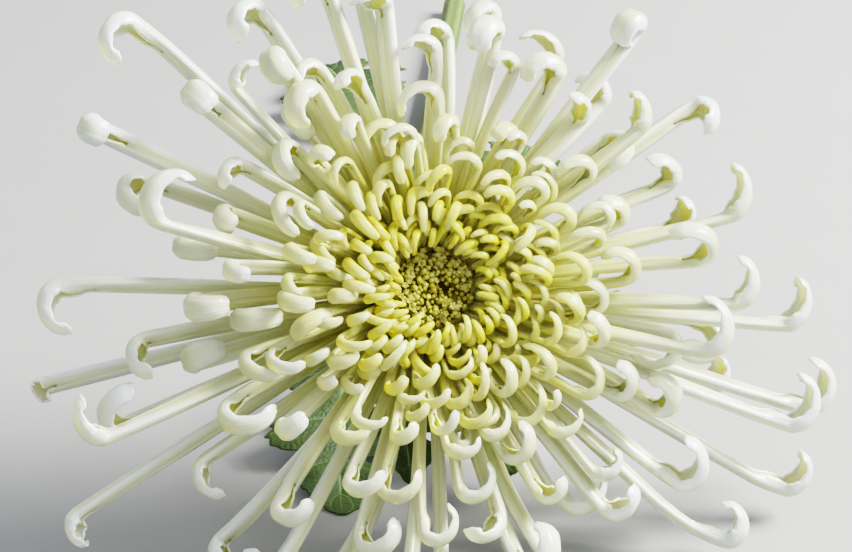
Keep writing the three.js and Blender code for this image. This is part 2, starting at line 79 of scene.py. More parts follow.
# Slight waves of the skin: their depth, their run along the stem and their turns round it.
STEM_WAVES = [(0.008, 0.31, 2), (0.006, 0.83, -1)]
STEM_COLUMNS = 60
STEM_ROWS = 150
JOINT_SWELLING = 0.35
JOINT_LENGTH = 2.0
LEAF_JOINTS = [11, 22, 40, 62, 86, 122]
NECK_BELOW_HEAD = 17.3
NECK = HEAD_AT - NECK_BELOW_HEAD * HEAD_AXES[2]
ARC_RADIUS = (NECK[2] - STEM_RADIUS) / (1 - math.cos(HEAD_LIFT))
ARC_LENGTH = ARC_RADIUS * HEAD_LIFT
STEM_LENGTH = ARC_LENGTH + STEM_STRAIGHT
# Nothing of the stem or the leaves lies lower than this over the table.
LEAST_HEIGHT = 0.12

# The cut end: share of the radius, and how far it stands out past the stem's length.
CUT_END = [(0.97, 0.1), (0.86, 0.14), (0.72, 0.1), (0.62, -0.05), (0.56, -0.3), (0.3, -0.4), (0, -0.42)]


def mix(start, end, share):
    return start + (end - start) * share


def bump(middle, spread, value):
    return np.exp(-((value - middle) / spread) ** 2)


def unit(vectors):
    return vectors / np.linalg.norm(vectors, axis=-1, keepdims=True)


def stem_point(distance):
    """The middle of the stem, a distance on from its neck."""
    slope = HEAD_LIFT - np.minimum(distance, ARC_LENGTH) / ARC_RADIUS
    level = np.maximum(0, distance - ARC_LENGTH)
    back = ARC_RADIUS * (math.sin(HEAD_LIFT) - np.sin(slope)) + level
    height = STEM_RADIUS + ARC_RADIUS * (1 - np.cos(slope))
    turning = np.clip(distance, 0, STEM_TURN_LENGTH)
    turned_on = np.maximum(0, distance - STEM_TURN_LENGTH)
    aside = STEM_TURN * (turning ** 2 / (2 * STEM_TURN_LENGTH) + turned_on)
    return np.stack([NECK[0] + aside, NECK[1] + back, height], axis=-1)


def stem_ways(distance):
    """The stem's direction there, and the ways across it and up from it."""
    way = unit(stem_point(distance + 0.5) - stem_point(distance - 0.5))
    across = unit(np.array([1, 0, 0]) - way * way[..., :1])
    return way, across, np.cross(across, way)


def plain_stem_radius(distance):
    return mix(STEM_NECK_RADIUS, STEM_RADIUS, np.minimum(1, distance / STEM_SWELLS_BY))


def stem_radius(distance):
    swelling = sum(bump(joint, JOINT_LENGTH, distance) for joint in LEAF_JOINTS)
    return plain_stem_radius(distance) + JOINT_SWELLING * swelling


def mesh_points(piece):
    flat = np.empty(len(piece.data.vertices) * 3)
    piece.data.vertices.foreach_get("co", flat)
    return flat.reshape(-1, 3)


def sheet_of_faces(name, columns, rows):
    """A new flat sheet, with the column and row number of each of its points."""
    bpy.ops.object.select_all(action="DESELECT")
    bpy.ops.mesh.primitive_grid_add(x_subdivisions=columns, y_subdivisions=rows, size=1)
    sheet = bpy.context.object
    sheet.name = name
    place = mesh_points(sheet) + 0.5
    return sheet, np.rint(place[:, 0] * columns), np.rint(place[:, 1] * rows)


def shape(piece, points):
    piece.data.vertices.foreach_set("co", np.asarray(points, dtype=float).ravel())
    piece.data.update()


def lay_uv(sheet, across, along):
    """Sets each point's place in the UV map."""
    corners = np.empty(len(sheet.data.loops), dtype=int)
    sheet.data.loops.foreach_get("vertex_index", corners)
    places = np.stack([across[corners], along[corners]], axis=1)
    sheet.data.uv_layers["UVMap"].data.foreach_set("uv", places.ravel())


def select_only(pieces):
    bpy.ops.object.select_all(action="DESELECT")
    for piece in pieces:
        piece.select_set(True)
    bpy.context.view_layer.objects.active = pieces[0]


SEAM_MEETS_WITHIN = 0.004 * MM


def close_seams(piece, within=SEAM_MEETS_WITHIN):
    """Joins a rolled sheet's edges and poles, and turns its faces outwards."""
    select_only([piece])
    bpy.ops.object.mode_set(mode="EDIT")
    bpy.ops.mesh.select_all(action="SELECT")
    bpy.ops.mesh.remove_doubles(threshold=within)
    bpy.ops.mesh.normals_make_consistent(inside=False)
    bpy.ops.object.mode_set(mode="OBJECT")
    piece.data.shade_smooth()


def copied(piece):
    """A copy with its own mesh."""
    copy = piece.copy()
    copy.data = piece.data.copy()
    bpy.context.collection.objects.link(copy)
    return copy


def join(name, parts):
    select_only(parts)
    bpy.ops.object.join()
    parts[0].name = parts[0].data.name = name
    return parts[0]


class Wire:
    """A value in a material. Arithmetic on it adds Math nodes, and add makes any other node."""

    def __init__(self, tree, socket=None):
        self.tree = tree
        self.socket = socket

    def add(self, kind, settings=None, sockets=None, output=0):
        node = self.tree.nodes.new(kind)
        for name, value in (settings or {}).items():
            if name == "stops":
                self.set_stops(node.color_ramp, value)
            else:
                setattr(node, name, value)
        for name, value in (sockets or {}).items():
            if isinstance(value, Wire):
                self.tree.links.new(value.socket, node.inputs[name])
            else:
                node.inputs[name].default_value = value
        return Wire(self.tree, node.outputs[output])

    @staticmethod
    def set_stops(ramp, stops):
        while len(ramp.elements) < len(stops):
            ramp.elements.new(0.5)
        for element, (position, color) in zip(ramp.elements, stops):
            element.position = position
            element.color = (*color, 1)

    def math(self, operation, *values):
        return self.add("ShaderNodeMath", {"operation": operation}, dict(enumerate(values)))

    def sine(self):
        return self.math("SINE", self)

    def cosine(self):
        return self.math("COSINE", self)

    def size(self):
        return self.math("ABSOLUTE", self)

    def near(self, value, spread):
        """1 at a value, falling to 0 a spread away from it."""
        return self.add("ShaderNodeMapRange", {}, {0: (self - value).size(), 1: spread, 2: 0.0})

    def rising(self, start, end):
        """0 at the start, rising to 1 at the end, which may lie below it."""
        return self.add("ShaderNodeMapRange", {}, {0: self, 1: start, 2: end})

    def __add__(self, other):
        return self.math("ADD", self, other)

    def __sub__(self, other):
        return self.math("SUBTRACT", self, other)

    def __rsub__(self, other):
        return self.math("SUBTRACT", other, self)

    def __mul__(self, other):
        return self.math("MULTIPLY", self, other)

    def __truediv__(self, other):
        return self.math("DIVIDE", self, other)

    __radd__ = __add__
    __rmul__ = __mul__


def new_material(name, **constants):
    """A material with one Principled shader, whose steady values are set on its own sockets."""
    material = bpy.data.materials.new(name)
    material.use_nodes = True
    surface = material.node_tree.nodes["Principled BSDF"]
    for socket, value in constants.items():
        surface.inputs[socket.replace("_", " ")].default_value = value
    return material, Wire(material.node_tree), surface


def link(wire, surface, socket):
    wire.tree.links.new(wire.socket, surface.inputs[socket])


def object_place(wire):
    return wire.add("ShaderNodeTexCoord", output=3)


def uv_places(wire):
    """The two numbers of the piece's UV map."""
    uv = wire.add("ShaderNodeUVMap", {"uv_map": "UVMap"})
    return [wire.add("ShaderNodeSeparateXYZ", {}, {0: uv}, output=k) for k in range(2)]


def stretched(wire, x, y, z):
    return wire.add("ShaderNodeCombineXYZ", {}, {0: x, 1: y, 2: z})


def noise(wire, vector, scale, detail=2):
    sockets = {"Vector": vector, "Scale": scale, "Detail": detail, "Roughness": 0.55}
    return wire.add("ShaderNodeTexNoise", {}, sockets)


def mix_colors(wire, share, first, second):
    sockets = {0: share, 6: first, 7: second}
    return wire.add("ShaderNodeMix", {"data_type": "RGBA"}, sockets, output=2)


def multiply_color(wire, color, value):
    sockets = {0: color, "Scale": value}
    return wire.add("ShaderNodeVectorMath", {"operation": "SCALE"}, sockets)


def bumps(wire, height, surface, strength, distance):
    sockets = {"Height": height, "Strength": strength, "Distance": distance * MM}
    link(wire.add("ShaderNodeBump", {}, sockets), surface, "Normal")


def dressed(piece, nodes, slot, *materials):
    """Gives a finished piece its materials and its place in the flower."""
    piece.data.materials.clear()
    for material in materials:
        piece.data.materials.append(material)
    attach(piece, "root")
    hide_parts(*nodes)


# The ribs are painted paler as a painted highlight, and the grooves darker as painted shade.
RIB_HIGHLIGHT_GREEN = (0.17, 0.22, 0.075, 1)
GROOVE_SHADE_GREEN = (0.075, 0.12, 0.035, 1)
JOINT_BROWN = (0.20, 0.13, 0.07, 1)
CUT_GREEN = (0.42, 0.50, 0.22, 1)
PITH = (0.72, 0.70, 0.52, 1)
JOINT_STAIN = 2.5
# Over the cut end the UV map runs on from 1 at its rim to 2 at its middle.
CUT_RIM = (1.0, 1.02)
PITH_RIM = (1.36, 1.42)


def stem_material():
    material, wire, surface = new_material("stem_skin", IOR=1.42, Subsurface_Weight=0.08)
    around, along = uv_places(wire)
    place = object_place(wire)
    rib_highlight = ((around * (2 * math.pi) - FIRST_RIB) * STEM_RIBS + math.pi / 2).sine() * 0.5 + 0.5
    lengthwise = stretched(wire, around * 30, along * 26, 0)
    streaks = noise(wire, lengthwise, 2.2)
    mottle = noise(wire, place, 240)
    # Painted highlight on the ribs and painted shade in the grooves between them.
    color = mix_colors(wire, rib_highlight * 0.7 + (streaks - 0.5), GROOVE_SHADE_GREEN, RIB_HIGHLIGHT_GREEN)
    joints = sum(along.near(joint / STEM_LENGTH, JOINT_STAIN / STEM_LENGTH) for joint in LEAF_JOINTS)
    color = mix_colors(wire, joints * mottle * 0.6, color, JOINT_BROWN)
    inside = mix_colors(wire, along.rising(*PITH_RIM), CUT_GREEN, PITH)
    color = mix_colors(wire, along.rising(*CUT_RIM), color, inside)
    link(multiply_color(wire, color, 0.85 + mottle * 0.3), surface, "Base Color")
    link(0.48 + streaks * 0.2, surface, "Roughness")
    bumps(wire, streaks + mottle * 0.6, surface, 0.5, 0.12)
    return material


end_rows = len(CUT_END)
stem, columns, rows = sheet_of_faces("stem_skin", STEM_COLUMNS, STEM_ROWS + 1 + end_rows)
turns = 2 * math.pi * columns / STEM_COLUMNS
distances = STEM_LENGTH * np.clip((rows - 1) / STEM_ROWS, 0, 1)
end_row = np.clip(rows - 1 - STEM_ROWS, 0, end_rows)
end_shares = np.interp(end_row, range(end_rows + 1), [1] + [share for share, out in CUT_END])
end_outs = np.interp(end_row, range(end_rows + 1), [0] + [out for share, out in CUT_END])
end_shares = np.where(rows == 0, 0, end_shares)
lay_uv(stem, columns / STEM_COLUMNS, np.where(end_row > 0, 2 - end_shares, distances / STEM_LENGTH))
stem_way, stem_across, stem_up = stem_ways(distances)
rib_wave = np.cos(STEM_RIBS * (turns - FIRST_RIB)) - 1
waves = sum(depth * np.sin(distances * run + circling * turns) for depth, run, circling in STEM_WAVES)
radii = stem_radius(distances) * (1 + STEM_RIB_DEPTH * rib_wave + waves) * end_shares
skin = stem_point(distances) + stem_way * end_outs[:, None]
skin = skin - stem_across * (radii * np.cos(turns))[:, None]
skin = skin + stem_up * (radii * np.sin(turns))[:, None]
skin[:, 2] = np.maximum(skin[:, 2], LEAST_HEIGHT)
shape(stem, skin * MM)
close_seams(stem)

# The down on it: short blunt hairs, each a slim cone. They stand closer together near the neck,
# and there are none where the stem lies on the table.
STEM_HAIRS = 300
HAIR_SEED = 3
HAIR_RADIUS = 0.05
HAIR_TIP_RADIUS = 0.0125
HAIR_LENGTH = 0.6
HAIR_LEANS = (-0.5, 0.3)
HAIR_ROOT = 0.95
HAIRS_THIN_OUT = 1.4
HAIRLESS_HEIGHT = 1.2
HAIR_GREEN = (0.30, 0.36, 0.18, 1)
HAIR_WHITE = (0.55, 0.58, 0.40, 1)
hair_draws = np.random.default_rng(HAIR_SEED)
bpy.ops.object.select_all(action="DESELECT")
bpy.ops.mesh.primitive_cone_add(
    vertices=5, radius1=HAIR_RADIUS * MM, radius2=HAIR_TIP_RADIUS * MM, depth=HAIR_LENGTH * MM,
    location=(0, 0, HAIR_LENGTH / 3 * MM),
)
hair = bpy.context.object
bpy.ops.object.transform_apply(location=True, rotation=False, scale=False)
hairs = []
for number in range(STEM_HAIRS):
    distance = STEM_LENGTH * hair_draws.uniform(0, 1) ** HAIRS_THIN_OUT
    turn = hair_draws.uniform(0, 2 * math.pi)
    way, across, up = stem_ways(distance)
    outward = up * math.sin(turn) - across * math.cos(turn)
    foot = stem_point(distance) + outward * stem_radius(distance) * HAIR_ROOT
    if foot[2] < HAIRLESS_HEIGHT:
        continue
    copy = copied(hair)
    lean = Vector(outward + way * hair_draws.uniform(*HAIR_LEANS))
    copy.data.transform(lean.to_track_quat("Z", "Y").to_matrix().to_4x4())
    copy.data.transform(Matrix.Translation(Vector(foot) * MM))
    hairs.append(copy)
bpy.data.objects.remove(hair)
down = join("stem_down", hairs)
down.data.shade_smooth()
hair_skin, wire, surface = new_material("stem_hairs", IOR=1.4, Subsurface_Weight=0.1)
frost = noise(wire, object_place(wire), 300)
link(mix_colors(wire, frost, HAIR_GREEN, HAIR_WHITE), surface, "Base Color")
link(0.5 + frost * 0.2, surface, "Roughness")
dressed(stem, ["stem"], "stem", stem_material())
dressed(down, ["stem"], "stem", hair_skin)

# ---------------------------------------------------------------- leaves
# Six lobed and toothed leaves, each on its own short stalk from a joint of the stem: a thin soft
# blade, dark above and grey-green beneath, carried by a midrib that stands out under it.

# Bend and tip from the leaf's joint, half width, the share that is stalk, roll in degrees.
LEAVES = [
    ((-3, -8, -9), (-6, -31, -18), 8, 0.2, 0),
    ((9, -5, -10), (13, -36, -17), 9, 0.2, 0),
    ((-14, -6, -8), (-20, -47, -18), 14, 0.22, -8),
    ((20, -6, 2), (46, -24, -11), 18, 0.24, 6),
    ((16, 8, 8), (40, 34, -3), 17, 0.24, 6),
    ((-12, 14, 10), (-12, 50, 2), 16, 0.24, -8),
]
# The share of the length, and the share of the half width there, from stalk to tip.
LEAF_OUTLINE = np.array([
    [0.0, 0.06], [0.06, 0.18], [0.12, 0.42], [0.2, 0.68], [0.27, 0.76], [0.32, 0.6], [0.33, 0.32],
    [0.39, 0.44], [0.47, 0.84], [0.54, 1.0], [0.61, 0.86], [0.63, 0.36], [0.68, 0.42], [0.76, 0.62],
    [0.82, 0.58], [0.88, 0.42], [0.95, 0.24], [1.0, 0.05],
])
LOBE_TIPS = [4, 9, 13, 17]
VEIN_SLANT = 2.6
LEAF_COLUMNS = 28
ROWS_TO_A_POINT = 9
TEETH_TO_A_POINT = 1.5
TOOTH_SHARE = 0.09
TEETH_OUT_OF_STEP = 0.2
LEAF_FOLD = 0.16
LEAF_DROOP = 0.012
LEAF_THICKNESS = 0.34
LEAST_LEAF_SHARE = 0.01
# The blade's broad waves and small ripples towards its edge: their depth and run.
EDGE_WAVE = (0.5, 1.7)
EDGE_RIPPLE = (0.25, 4.1)
VEIN_DEPTH = 0.25
VEIN_WIDTH = 0.3
MIDRIB_DEPTH = 0.3
MIDRIB_WIDTH = 0.05
MIDRIB_STEPS = 200
LEAF_STALK_RADIUS = 0.9
LEAF_STALK_COLUMNS = 16
LEAF_STALK_ROWS = 72
LEAF_STALK_BREADTH = 1.1
LEAF_STALK_GROOVE = 0.35
LEAF_STALK_GROOVE_WIDTH = 0.55
LEAF_STALK_SWELLING = 0.4
LEAF_STALK_SWELLING_LENGTH = 0.03
# The stalk's thickness at the foot and at the tip, as shares of its radius.
LEAF_STALK_TAPER = (0.95, 0.24)
LEAF_STALK_ENDS = 0.96
RIB_SUNK_IN_BLADE = 0.7
FOOT_SUNK = 1.1
SEAT_GAP = 0.3


def curve_through(values, places):
    """A smooth line through values at whole numbers, read at places."""
    last = len(values) - 1
    low = np.clip(places.astype(int), 0, last - 1)
    before, after = values[np.maximum(low - 1, 0)], values[np.minimum(low + 2, last)]
    start, end, share = values[low], values[low + 1], places - low
    leaving, arriving = (end - before) / 2, (after - start) / 2
    square, cube = share ** 2, share ** 3
    bends = leaving * (cube - 2 * square + share) + arriving * (cube - square)
    return start * (2 * cube - 3 * square + 1) + end * (3 * square - 2 * cube) + bends


def lengths_along(line):
    return np.concatenate([[0], np.cumsum(np.linalg.norm(np.diff(line, axis=0), axis=1))])


def leaf_midrib(joint, bend, tip):
    """Shares of the midrib's length, and its points and directions there."""
    centre = stem_point(joint)
    leaving = unit(np.array(bend, dtype=float))
    stem_way = stem_ways(joint)[0]
    slant = leaving @ stem_way
    away = unit(leaving - stem_way * slant)
    foot = centre + away * (plain_stem_radius(joint) + SEAT_GAP + LEAF_STALK_RADIUS * abs(slant))
    steps = np.linspace(0, 1, MIDRIB_STEPS + 1)[:, None]
    bend, tip = centre + bend, centre + tip
    line = foot * (1 - steps) ** 2 + bend * 2 * steps * (1 - steps) + tip * steps ** 2
    ways = unit((bend - foot) * (1 - steps) + (tip - bend) * steps)
    lengths = lengths_along(line)
    return lengths / lengths[-1], line, ways


def leaf_frames(midrib, shares, roll):
    """Points along the midrib, with the ways across the blade and out of its upper face."""
    known, line, ways = midrib
    centre = np.stack([np.interp(shares, known, line[:, k]) for k in range(3)], axis=-1)
    along = unit(np.stack([np.interp(shares, known, ways[:, k]) for k in range(3)], axis=-1))
    level = unit(np.cross(along, [0, 0, 1]))
    across = level * math.cos(roll) + np.cross(along, level) * math.sin(roll)
    return centre, along, across, np.cross(across, along)


def leaf_blade(midrib, half, stalk, roll):
    """A lobed sheet. Its rows fan from the midrib out to the edge, one at each vein's slant."""
    last = len(LEAF_OUTLINE) - 1
    blade, columns, rows = sheet_of_faces("leaf_blade", LEAF_COLUMNS, last * ROWS_TO_A_POINT)
    side = 2 * columns / LEAF_COLUMNS - 1
    out = np.abs(side)
    points = rows / ROWS_TO_A_POINT
    lay_uv(blade, columns / LEAF_COLUMNS, points / last)
    edge = curve_through(LEAF_OUTLINE[:, 0], points)
    across_share = np.maximum(LEAST_LEAF_SHARE, curve_through(LEAF_OUTLINE[:, 1], points))
    teeth = 1 - TOOTH_SHARE * (1 - (points * TEETH_TO_A_POINT + TEETH_OUT_OF_STEP * np.sign(side)) % 1)
    reach = side * half * across_share * mix(1, teeth, out ** 3)
    shares = mix(stalk, 1, mix(points / last, edge, out))
    centre, along, across, facing = leaf_frames(midrib, shares, roll)
    slanted = points + VEIN_SLANT * (1 - out)
    vein = sum(bump(tip, VEIN_WIDTH, slanted) for tip in LOBE_TIPS) * (1 - 0.5 * out)
    wave_depth, wave_run = EDGE_WAVE
    ripple_depth, ripple_run = EDGE_RIPPLE
    waves = wave_depth * out ** 2 * np.sin(points * wave_run + side)
    waves = waves + ripple_depth * out * np.sin(points * ripple_run)
    relief = waves - VEIN_DEPTH * vein - MIDRIB_DEPTH * bump(0, MIDRIB_WIDTH, out)
    lift = LEAF_FOLD * np.abs(reach) - LEAF_DROOP * reach ** 2 + relief
    surface = centre + across * reach[:, None] + facing * lift[:, None]
    surface[:, 2] = np.maximum(surface[:, 2], LEAST_HEIGHT + LEAF_THICKNESS / 2)
    shape(blade, surface * MM)
    return blade


def thicken(piece, thickness, lining=0, offset=-1):
    """Gives a sheet its thickness. lining counts on from the outer face's material."""
    wall = piece.modifiers.new("wall", "SOLIDIFY")
    wall.thickness = thickness * MM
    wall.offset = offset
    wall.material_offset = lining
    select_only([piece])
    bpy.ops.object.modifier_apply(modifier=wall.name)


def leaf_rib(midrib, stalk, roll):
    """The leaf's stalk, grooved above, which runs on as the midrib under the blade."""
    rib, columns, rows = sheet_of_faces("leaf_rib", LEAF_STALK_COLUMNS, LEAF_STALK_ROWS)
    turns = 2 * math.pi * columns / LEAF_STALK_COLUMNS
    shares = LEAF_STALK_ENDS * (rows / LEAF_STALK_ROWS)
    lay_uv(rib, columns / LEAF_STALK_COLUMNS, shares)
    centre, along, across, facing = leaf_frames(midrib, shares, roll)
    on_blade = np.clip((shares - stalk) / (1 - stalk), 0, 1)
    taper = mix(*LEAF_STALK_TAPER, on_blade ** 0.7)
    swelling = LEAF_STALK_SWELLING * bump(0, LEAF_STALK_SWELLING_LENGTH, shares)
    radius = LEAF_STALK_RADIUS * (taper + swelling)
    radius = radius * np.where((rows == 0) | (rows == LEAF_STALK_ROWS), 0, 1)
    groove = 1 - LEAF_STALK_GROOVE * bump(math.pi / 2, LEAF_STALK_GROOVE_WIDTH, turns)
    sunk = radius * RIB_SUNK_IN_BLADE * np.minimum(1, on_blade * 12)
    points = centre - along * (FOOT_SUNK * (1 - np.minimum(rows, 2) / 2))[:, None]
    points = points + across * (radius * np.cos(turns) * LEAF_STALK_BREADTH)[:, None]
    points = points + facing * (radius * np.sin(turns) * groove - sunk)[:, None]
    points[:, 2] = np.maximum(points[:, 2], LEAST_HEIGHT)
    shape(rib, points * MM)
    close_seams(rib)
    return rib


LEAF_DARK = (0.026, 0.05, 0.012, 1)
LEAF_BRIGHT = (0.07, 0.115, 0.024, 1)
LEAF_UNDER = (0.13, 0.19, 0.10, 1)
LEAF_UNDER_PALE = (0.16, 0.23, 0.12, 1)
LEAF_STALK_GREEN = (0.13, 0.20, 0.06, 1)
VEIN_ABOVE = (0.13, 0.21, 0.07, 1)
VEIN_BENEATH = (0.24, 0.31, 0.17, 1)
LEAF_SCORCH = (0.17, 0.13, 0.04, 1)


def leaf_material(name, skin, other_skin, vein_color, vein_height, roughness):
    material, wire, surface = new_material(
        name, IOR=1.42, Subsurface_Weight=0.1, Subsurface_Scale=0.6 * MM,
    )
    side, length = uv_places(wire)
    place = object_place(wire)
    out = (side * 2 - 1).size()
    points = length * (len(LEAF_OUTLINE) - 1)
    wander = (noise(wire, place, 160) - 0.5) * 0.35
    slanted = points + (1 - out) * VEIN_SLANT + wander
    main_veins = sum(slanted.near(tip, 0.16) for tip in LOBE_TIPS)
    side_veins = ((slanted * 1.25 + out * 1.5) * math.pi).sine().near(0, 0.16) * 0.45
    veins = main_veins + side_veins + out.near(0, 0.06)
    patches = noise(wire, place, 70)
    cells = wire.add("ShaderNodeTexVoronoi", {"feature": "DISTANCE_TO_EDGE"}, {0: place, "Scale": 900})
    color = mix_colors(wire, patches.rising(0.3, 0.7), skin, other_skin)
    color = mix_colors(wire, veins * 0.75, color, vein_color)
    edge = out.rising(0.93, 1.0) * noise(wire, place, 110).rising(0.5, 0.7)
    color = mix_colors(wire, edge * 0.6, color, LEAF_SCORCH)
    link(color, surface, "Base Color")
    link(roughness + patches * 0.2, surface, "Roughness")
    bumps(wire, veins * vein_height + cells * 2.5 + patches, surface, 0.5, 0.25)
    return material


leaf_above = leaf_material("leaf_above", LEAF_DARK, LEAF_BRIGHT, VEIN_ABOVE, -0.8, 0.5)
leaf_beneath = leaf_material("leaf_beneath", LEAF_UNDER, LEAF_UNDER_PALE, VEIN_BENEATH, 1.2, 0.6)
leaf_stalk, wire, surface = new_material("leaf_stalk", IOR=1.42, Subsurface_Weight=0.08)
around, along = uv_places(wire)
fibres = noise(wire, stretched(wire, around * 20, along * 5, 0), 2.5)
link(mix_colors(wire, fibres.rising(0.3, 0.7), LEAF_STALK_GREEN, VEIN_BENEATH), surface, "Base Color")
link(0.5 + fibres * 0.2, surface, "Roughness")
bumps(wire, fibres, surface, 0.5, 0.1)

for number, (joint, leaf) in enumerate(zip(LEAF_JOINTS, LEAVES), start=1):
    bend, tip, half, stalk, roll = leaf
    midrib = leaf_midrib(joint, bend, tip)
    blade = leaf_blade(midrib, half, stalk, math.radians(roll))
    blade.name = f"leaf_blade_{number}"
    dressed(blade, [f"leaf_{number}"], "leaf", leaf_above, leaf_beneath)
    thicken(blade, LEAF_THICKNESS, lining=1, offset=0)
    blade.data.shade_smooth()
    rib = leaf_rib(midrib, stalk, math.radians(roll))
    rib.name = f"leaf_rib_{number}"
    dressed(rib, [f"leaf_{number}"], "leaf", leaf_stalk)

# ---------------------------------------------------------------- involucre
# The cup under the bloom: a firm green base with three rows of narrow overlapping bracts, each
# with a dark midline and thin papery edges. They grow from the base and press against each other.
CUP_PROFILE = [
    (0, -17), (1.4, -17), (2.3, -16.95), (4.6, -16.3), (7.4, -14.2), (9.0, -11.6), (9.3, -10.4),
    (8.4, -10.1), (4.4, -9.5), (0, -9.5),
]
CUP_COLUMNS = 72
CUP_ROWS = 54
LEAST_RADIUS = 0.02
BRACTS_TO_A_ROW = 18
# Each row's start along the cup's outside, its bracts' length and width, and their distance out.
BRACT_ROWS = [(1.0, 8.6, 3.0, 0.95), (3.2, 8.4, 3.3, 0.6), (5.4, 7.0, 3.4, 0.3)]
CUP_OUTSIDE = np.array([
    (2.3, -17), (4.6, -16.4), (6.3, -15.4), (7.8, -14.0), (9.0, -12.2), (9.7, -10.6), (10.1, -9.2),
    (10.2, -8.0),
])
# Past the cup's top the bracts run on up by this much to a millimetre.
CUP_TOP_SLOPE = 0.9
BRACT_COLUMNS = 10
BRACT_LENGTH_ROWS = 16
BRACT_CROWN = 0.35
BRACT_THICKNESS = 0.22
# How much the bracts differ: in length, in how far their tips stand off, in twist and in place.
BRACT_LENGTHS = (0.94, 1.04)
BRACT_TIPS_OUT = 0.5
BRACT_TWIST = 0.03
BRACT_STRAY = 0.12
BRACT_SEED = 5


def from_head(points):
    """Points of the head's frame, in millimetres, as metres in the flower's frame."""
    return (HEAD_AT + points @ HEAD_AXES) * MM


def round_axis(radius, turn, height):
    """Points at a radius, turn and height round an upright axis."""
    return np.stack([radius * np.cos(turn), radius * np.sin(turn), height], axis=1)


def lathe(name, profile, columns, rows, unevenness):
    """A sheet rolled round the head's axis, along a smooth line through a profile."""
    sheet, column, row = sheet_of_faces(name, columns, rows)
    profile = np.array(profile, dtype=float)
    turn = 2 * math.pi * column / columns
    place = row * (len(profile) - 1) / rows
    radius, height = curve_through(profile[:, 0], place), curve_through(profile[:, 1], place)
    radius = np.where((row == 0) | (row == rows), 0, np.maximum(radius, LEAST_RADIUS))
    radius = radius * (1 + unevenness * np.sin(5 * turn + place) * np.sin(3 * place))
    lay_uv(sheet, column / columns, row / rows)
    shape(sheet, from_head(round_axis(radius, turn, height)))
    close_seams(sheet)
    return sheet


def bract_outline(share):
    """Half a bract's width, as a share of the widest, from its root to its point."""
    return np.sin(np.pi * np.clip(0.16 + 0.84 * share, 0, 1)) ** 0.75 * (1 - 0.25 * share)


def set_tone(piece, tone):
    """Keeps a number with a piece, which its material reads, so that no two look the same."""
    values = piece.data.attributes.new("tone", "FLOAT", "POINT").data
    values.foreach_set("value", np.full(len(values), tone))


def tone_of(wire):
    return wire.add("ShaderNodeAttribute", {"attribute_name": "tone"}, output=2)


def placed_bract(flat, across, share, around, sizes, draws):
    """A copy of the flat bract, laid against the outside of the cup."""
    start, length, width, out = sizes
    reach = lengths_along(CUP_OUTSIDE)
    along = start + share * length * draws.uniform(*BRACT_LENGTHS)
    radius = np.interp(along, reach, CUP_OUTSIDE[:, 0])
    height = np.interp(along, reach, CUP_OUTSIDE[:, 1])
    height = height + np.maximum(0, along - reach[-1]) * CUP_TOP_SLOPE
    half = width / 2 * bract_outline(share)
    crown = BRACT_CROWN * np.sin(np.pi * share) * (1 - across ** 2)
    stand = out + crown + draws.uniform(0, BRACT_TIPS_OUT) * share ** 4
    twist = BRACT_TWIST * draws.uniform(-1, 1) * share
    turn = around + across * half / radius + twist
    bract = copied(flat)
    shape(bract, from_head(round_axis(radius + stand, turn, height)))
    set_tone(bract, draws.uniform(0, 1))
    return bract


BRACT_GREEN = (0.12, 0.20, 0.055, 1)
BRACT_LIGHT = (0.24, 0.31, 0.12, 1)
BRACT_MIDLINE = (0.07, 0.12, 0.035, 1)
BRACT_PAPER = (0.46, 0.38, 0.22, 1)


def bract_material():
    material, wire, surface = new_material("bract_skin", IOR=1.4, Subsurface_Weight=0.05)
    side, length = uv_places(wire)
    place = object_place(wire)
    tone = tone_of(wire)
    out = (side * 2 - 1).size()
    lines = noise(wire, stretched(wire, side * 14, length * 1.5, tone * 30), 2.4)
    color = mix_colors(wire, lines * 0.8 + tone * 0.3 - 0.1, BRACT_GREEN, BRACT_LIGHT)
    color = mix_colors(wire, out.near(0, 0.12) * 0.5, color, BRACT_MIDLINE)
    paper = (out + length * 0.15 + (noise(wire, place, 500) - 0.5) * 0.15).rising(0.82, 0.95)
    link(mix_colors(wire, paper, color, BRACT_PAPER), surface, "Base Color")
    link(0.55 + lines * 0.2, surface, "Roughness")
    bumps(wire, lines + out.near(0, 0.15), surface, 0.6, 0.15)
    return material


cup = lathe("cup_base", CUP_PROFILE, CUP_COLUMNS, CUP_ROWS, 0.01)
cup_skin, wire, surface = new_material("cup_skin", IOR=1.4, Subsurface_Weight=0.05)
mottle = noise(wire, object_place(wire), 350)
link(mix_colors(wire, mottle, BRACT_GREEN, BRACT_LIGHT), surface, "Base Color")
link(0.55 + mottle * 0.2, surface, "Roughness")
bumps(wire, mottle, surface, 0.5, 0.15)
dressed(cup, ["involucre"], "bract", cup_skin)

bract_sheet, columns, rows = sheet_of_faces("bract", BRACT_COLUMNS, BRACT_LENGTH_ROWS)
across = 2 * columns / BRACT_COLUMNS - 1
share = rows / BRACT_LENGTH_ROWS
lay_uv(bract_sheet, columns / BRACT_COLUMNS, share)
bract_draws = np.random.default_rng(BRACT_SEED)
bracts = []
for row, sizes in enumerate(BRACT_ROWS):
    for number in range(BRACTS_TO_A_ROW):
        place = number + row / 2 + bract_draws.uniform(-BRACT_STRAY, BRACT_STRAY)
        around = 2 * math.pi * place / BRACTS_TO_A_ROW
        bracts.append(placed_bract(bract_sheet, across, share, around, sizes, bract_draws))
bpy.data.objects.remove(bract_sheet)
bracts = join("bracts", bracts)
dressed(bracts, ["involucre"], "bract", bract_material())
thicken(bracts, BRACT_THICKNESS)
bracts.data.shade_smooth()

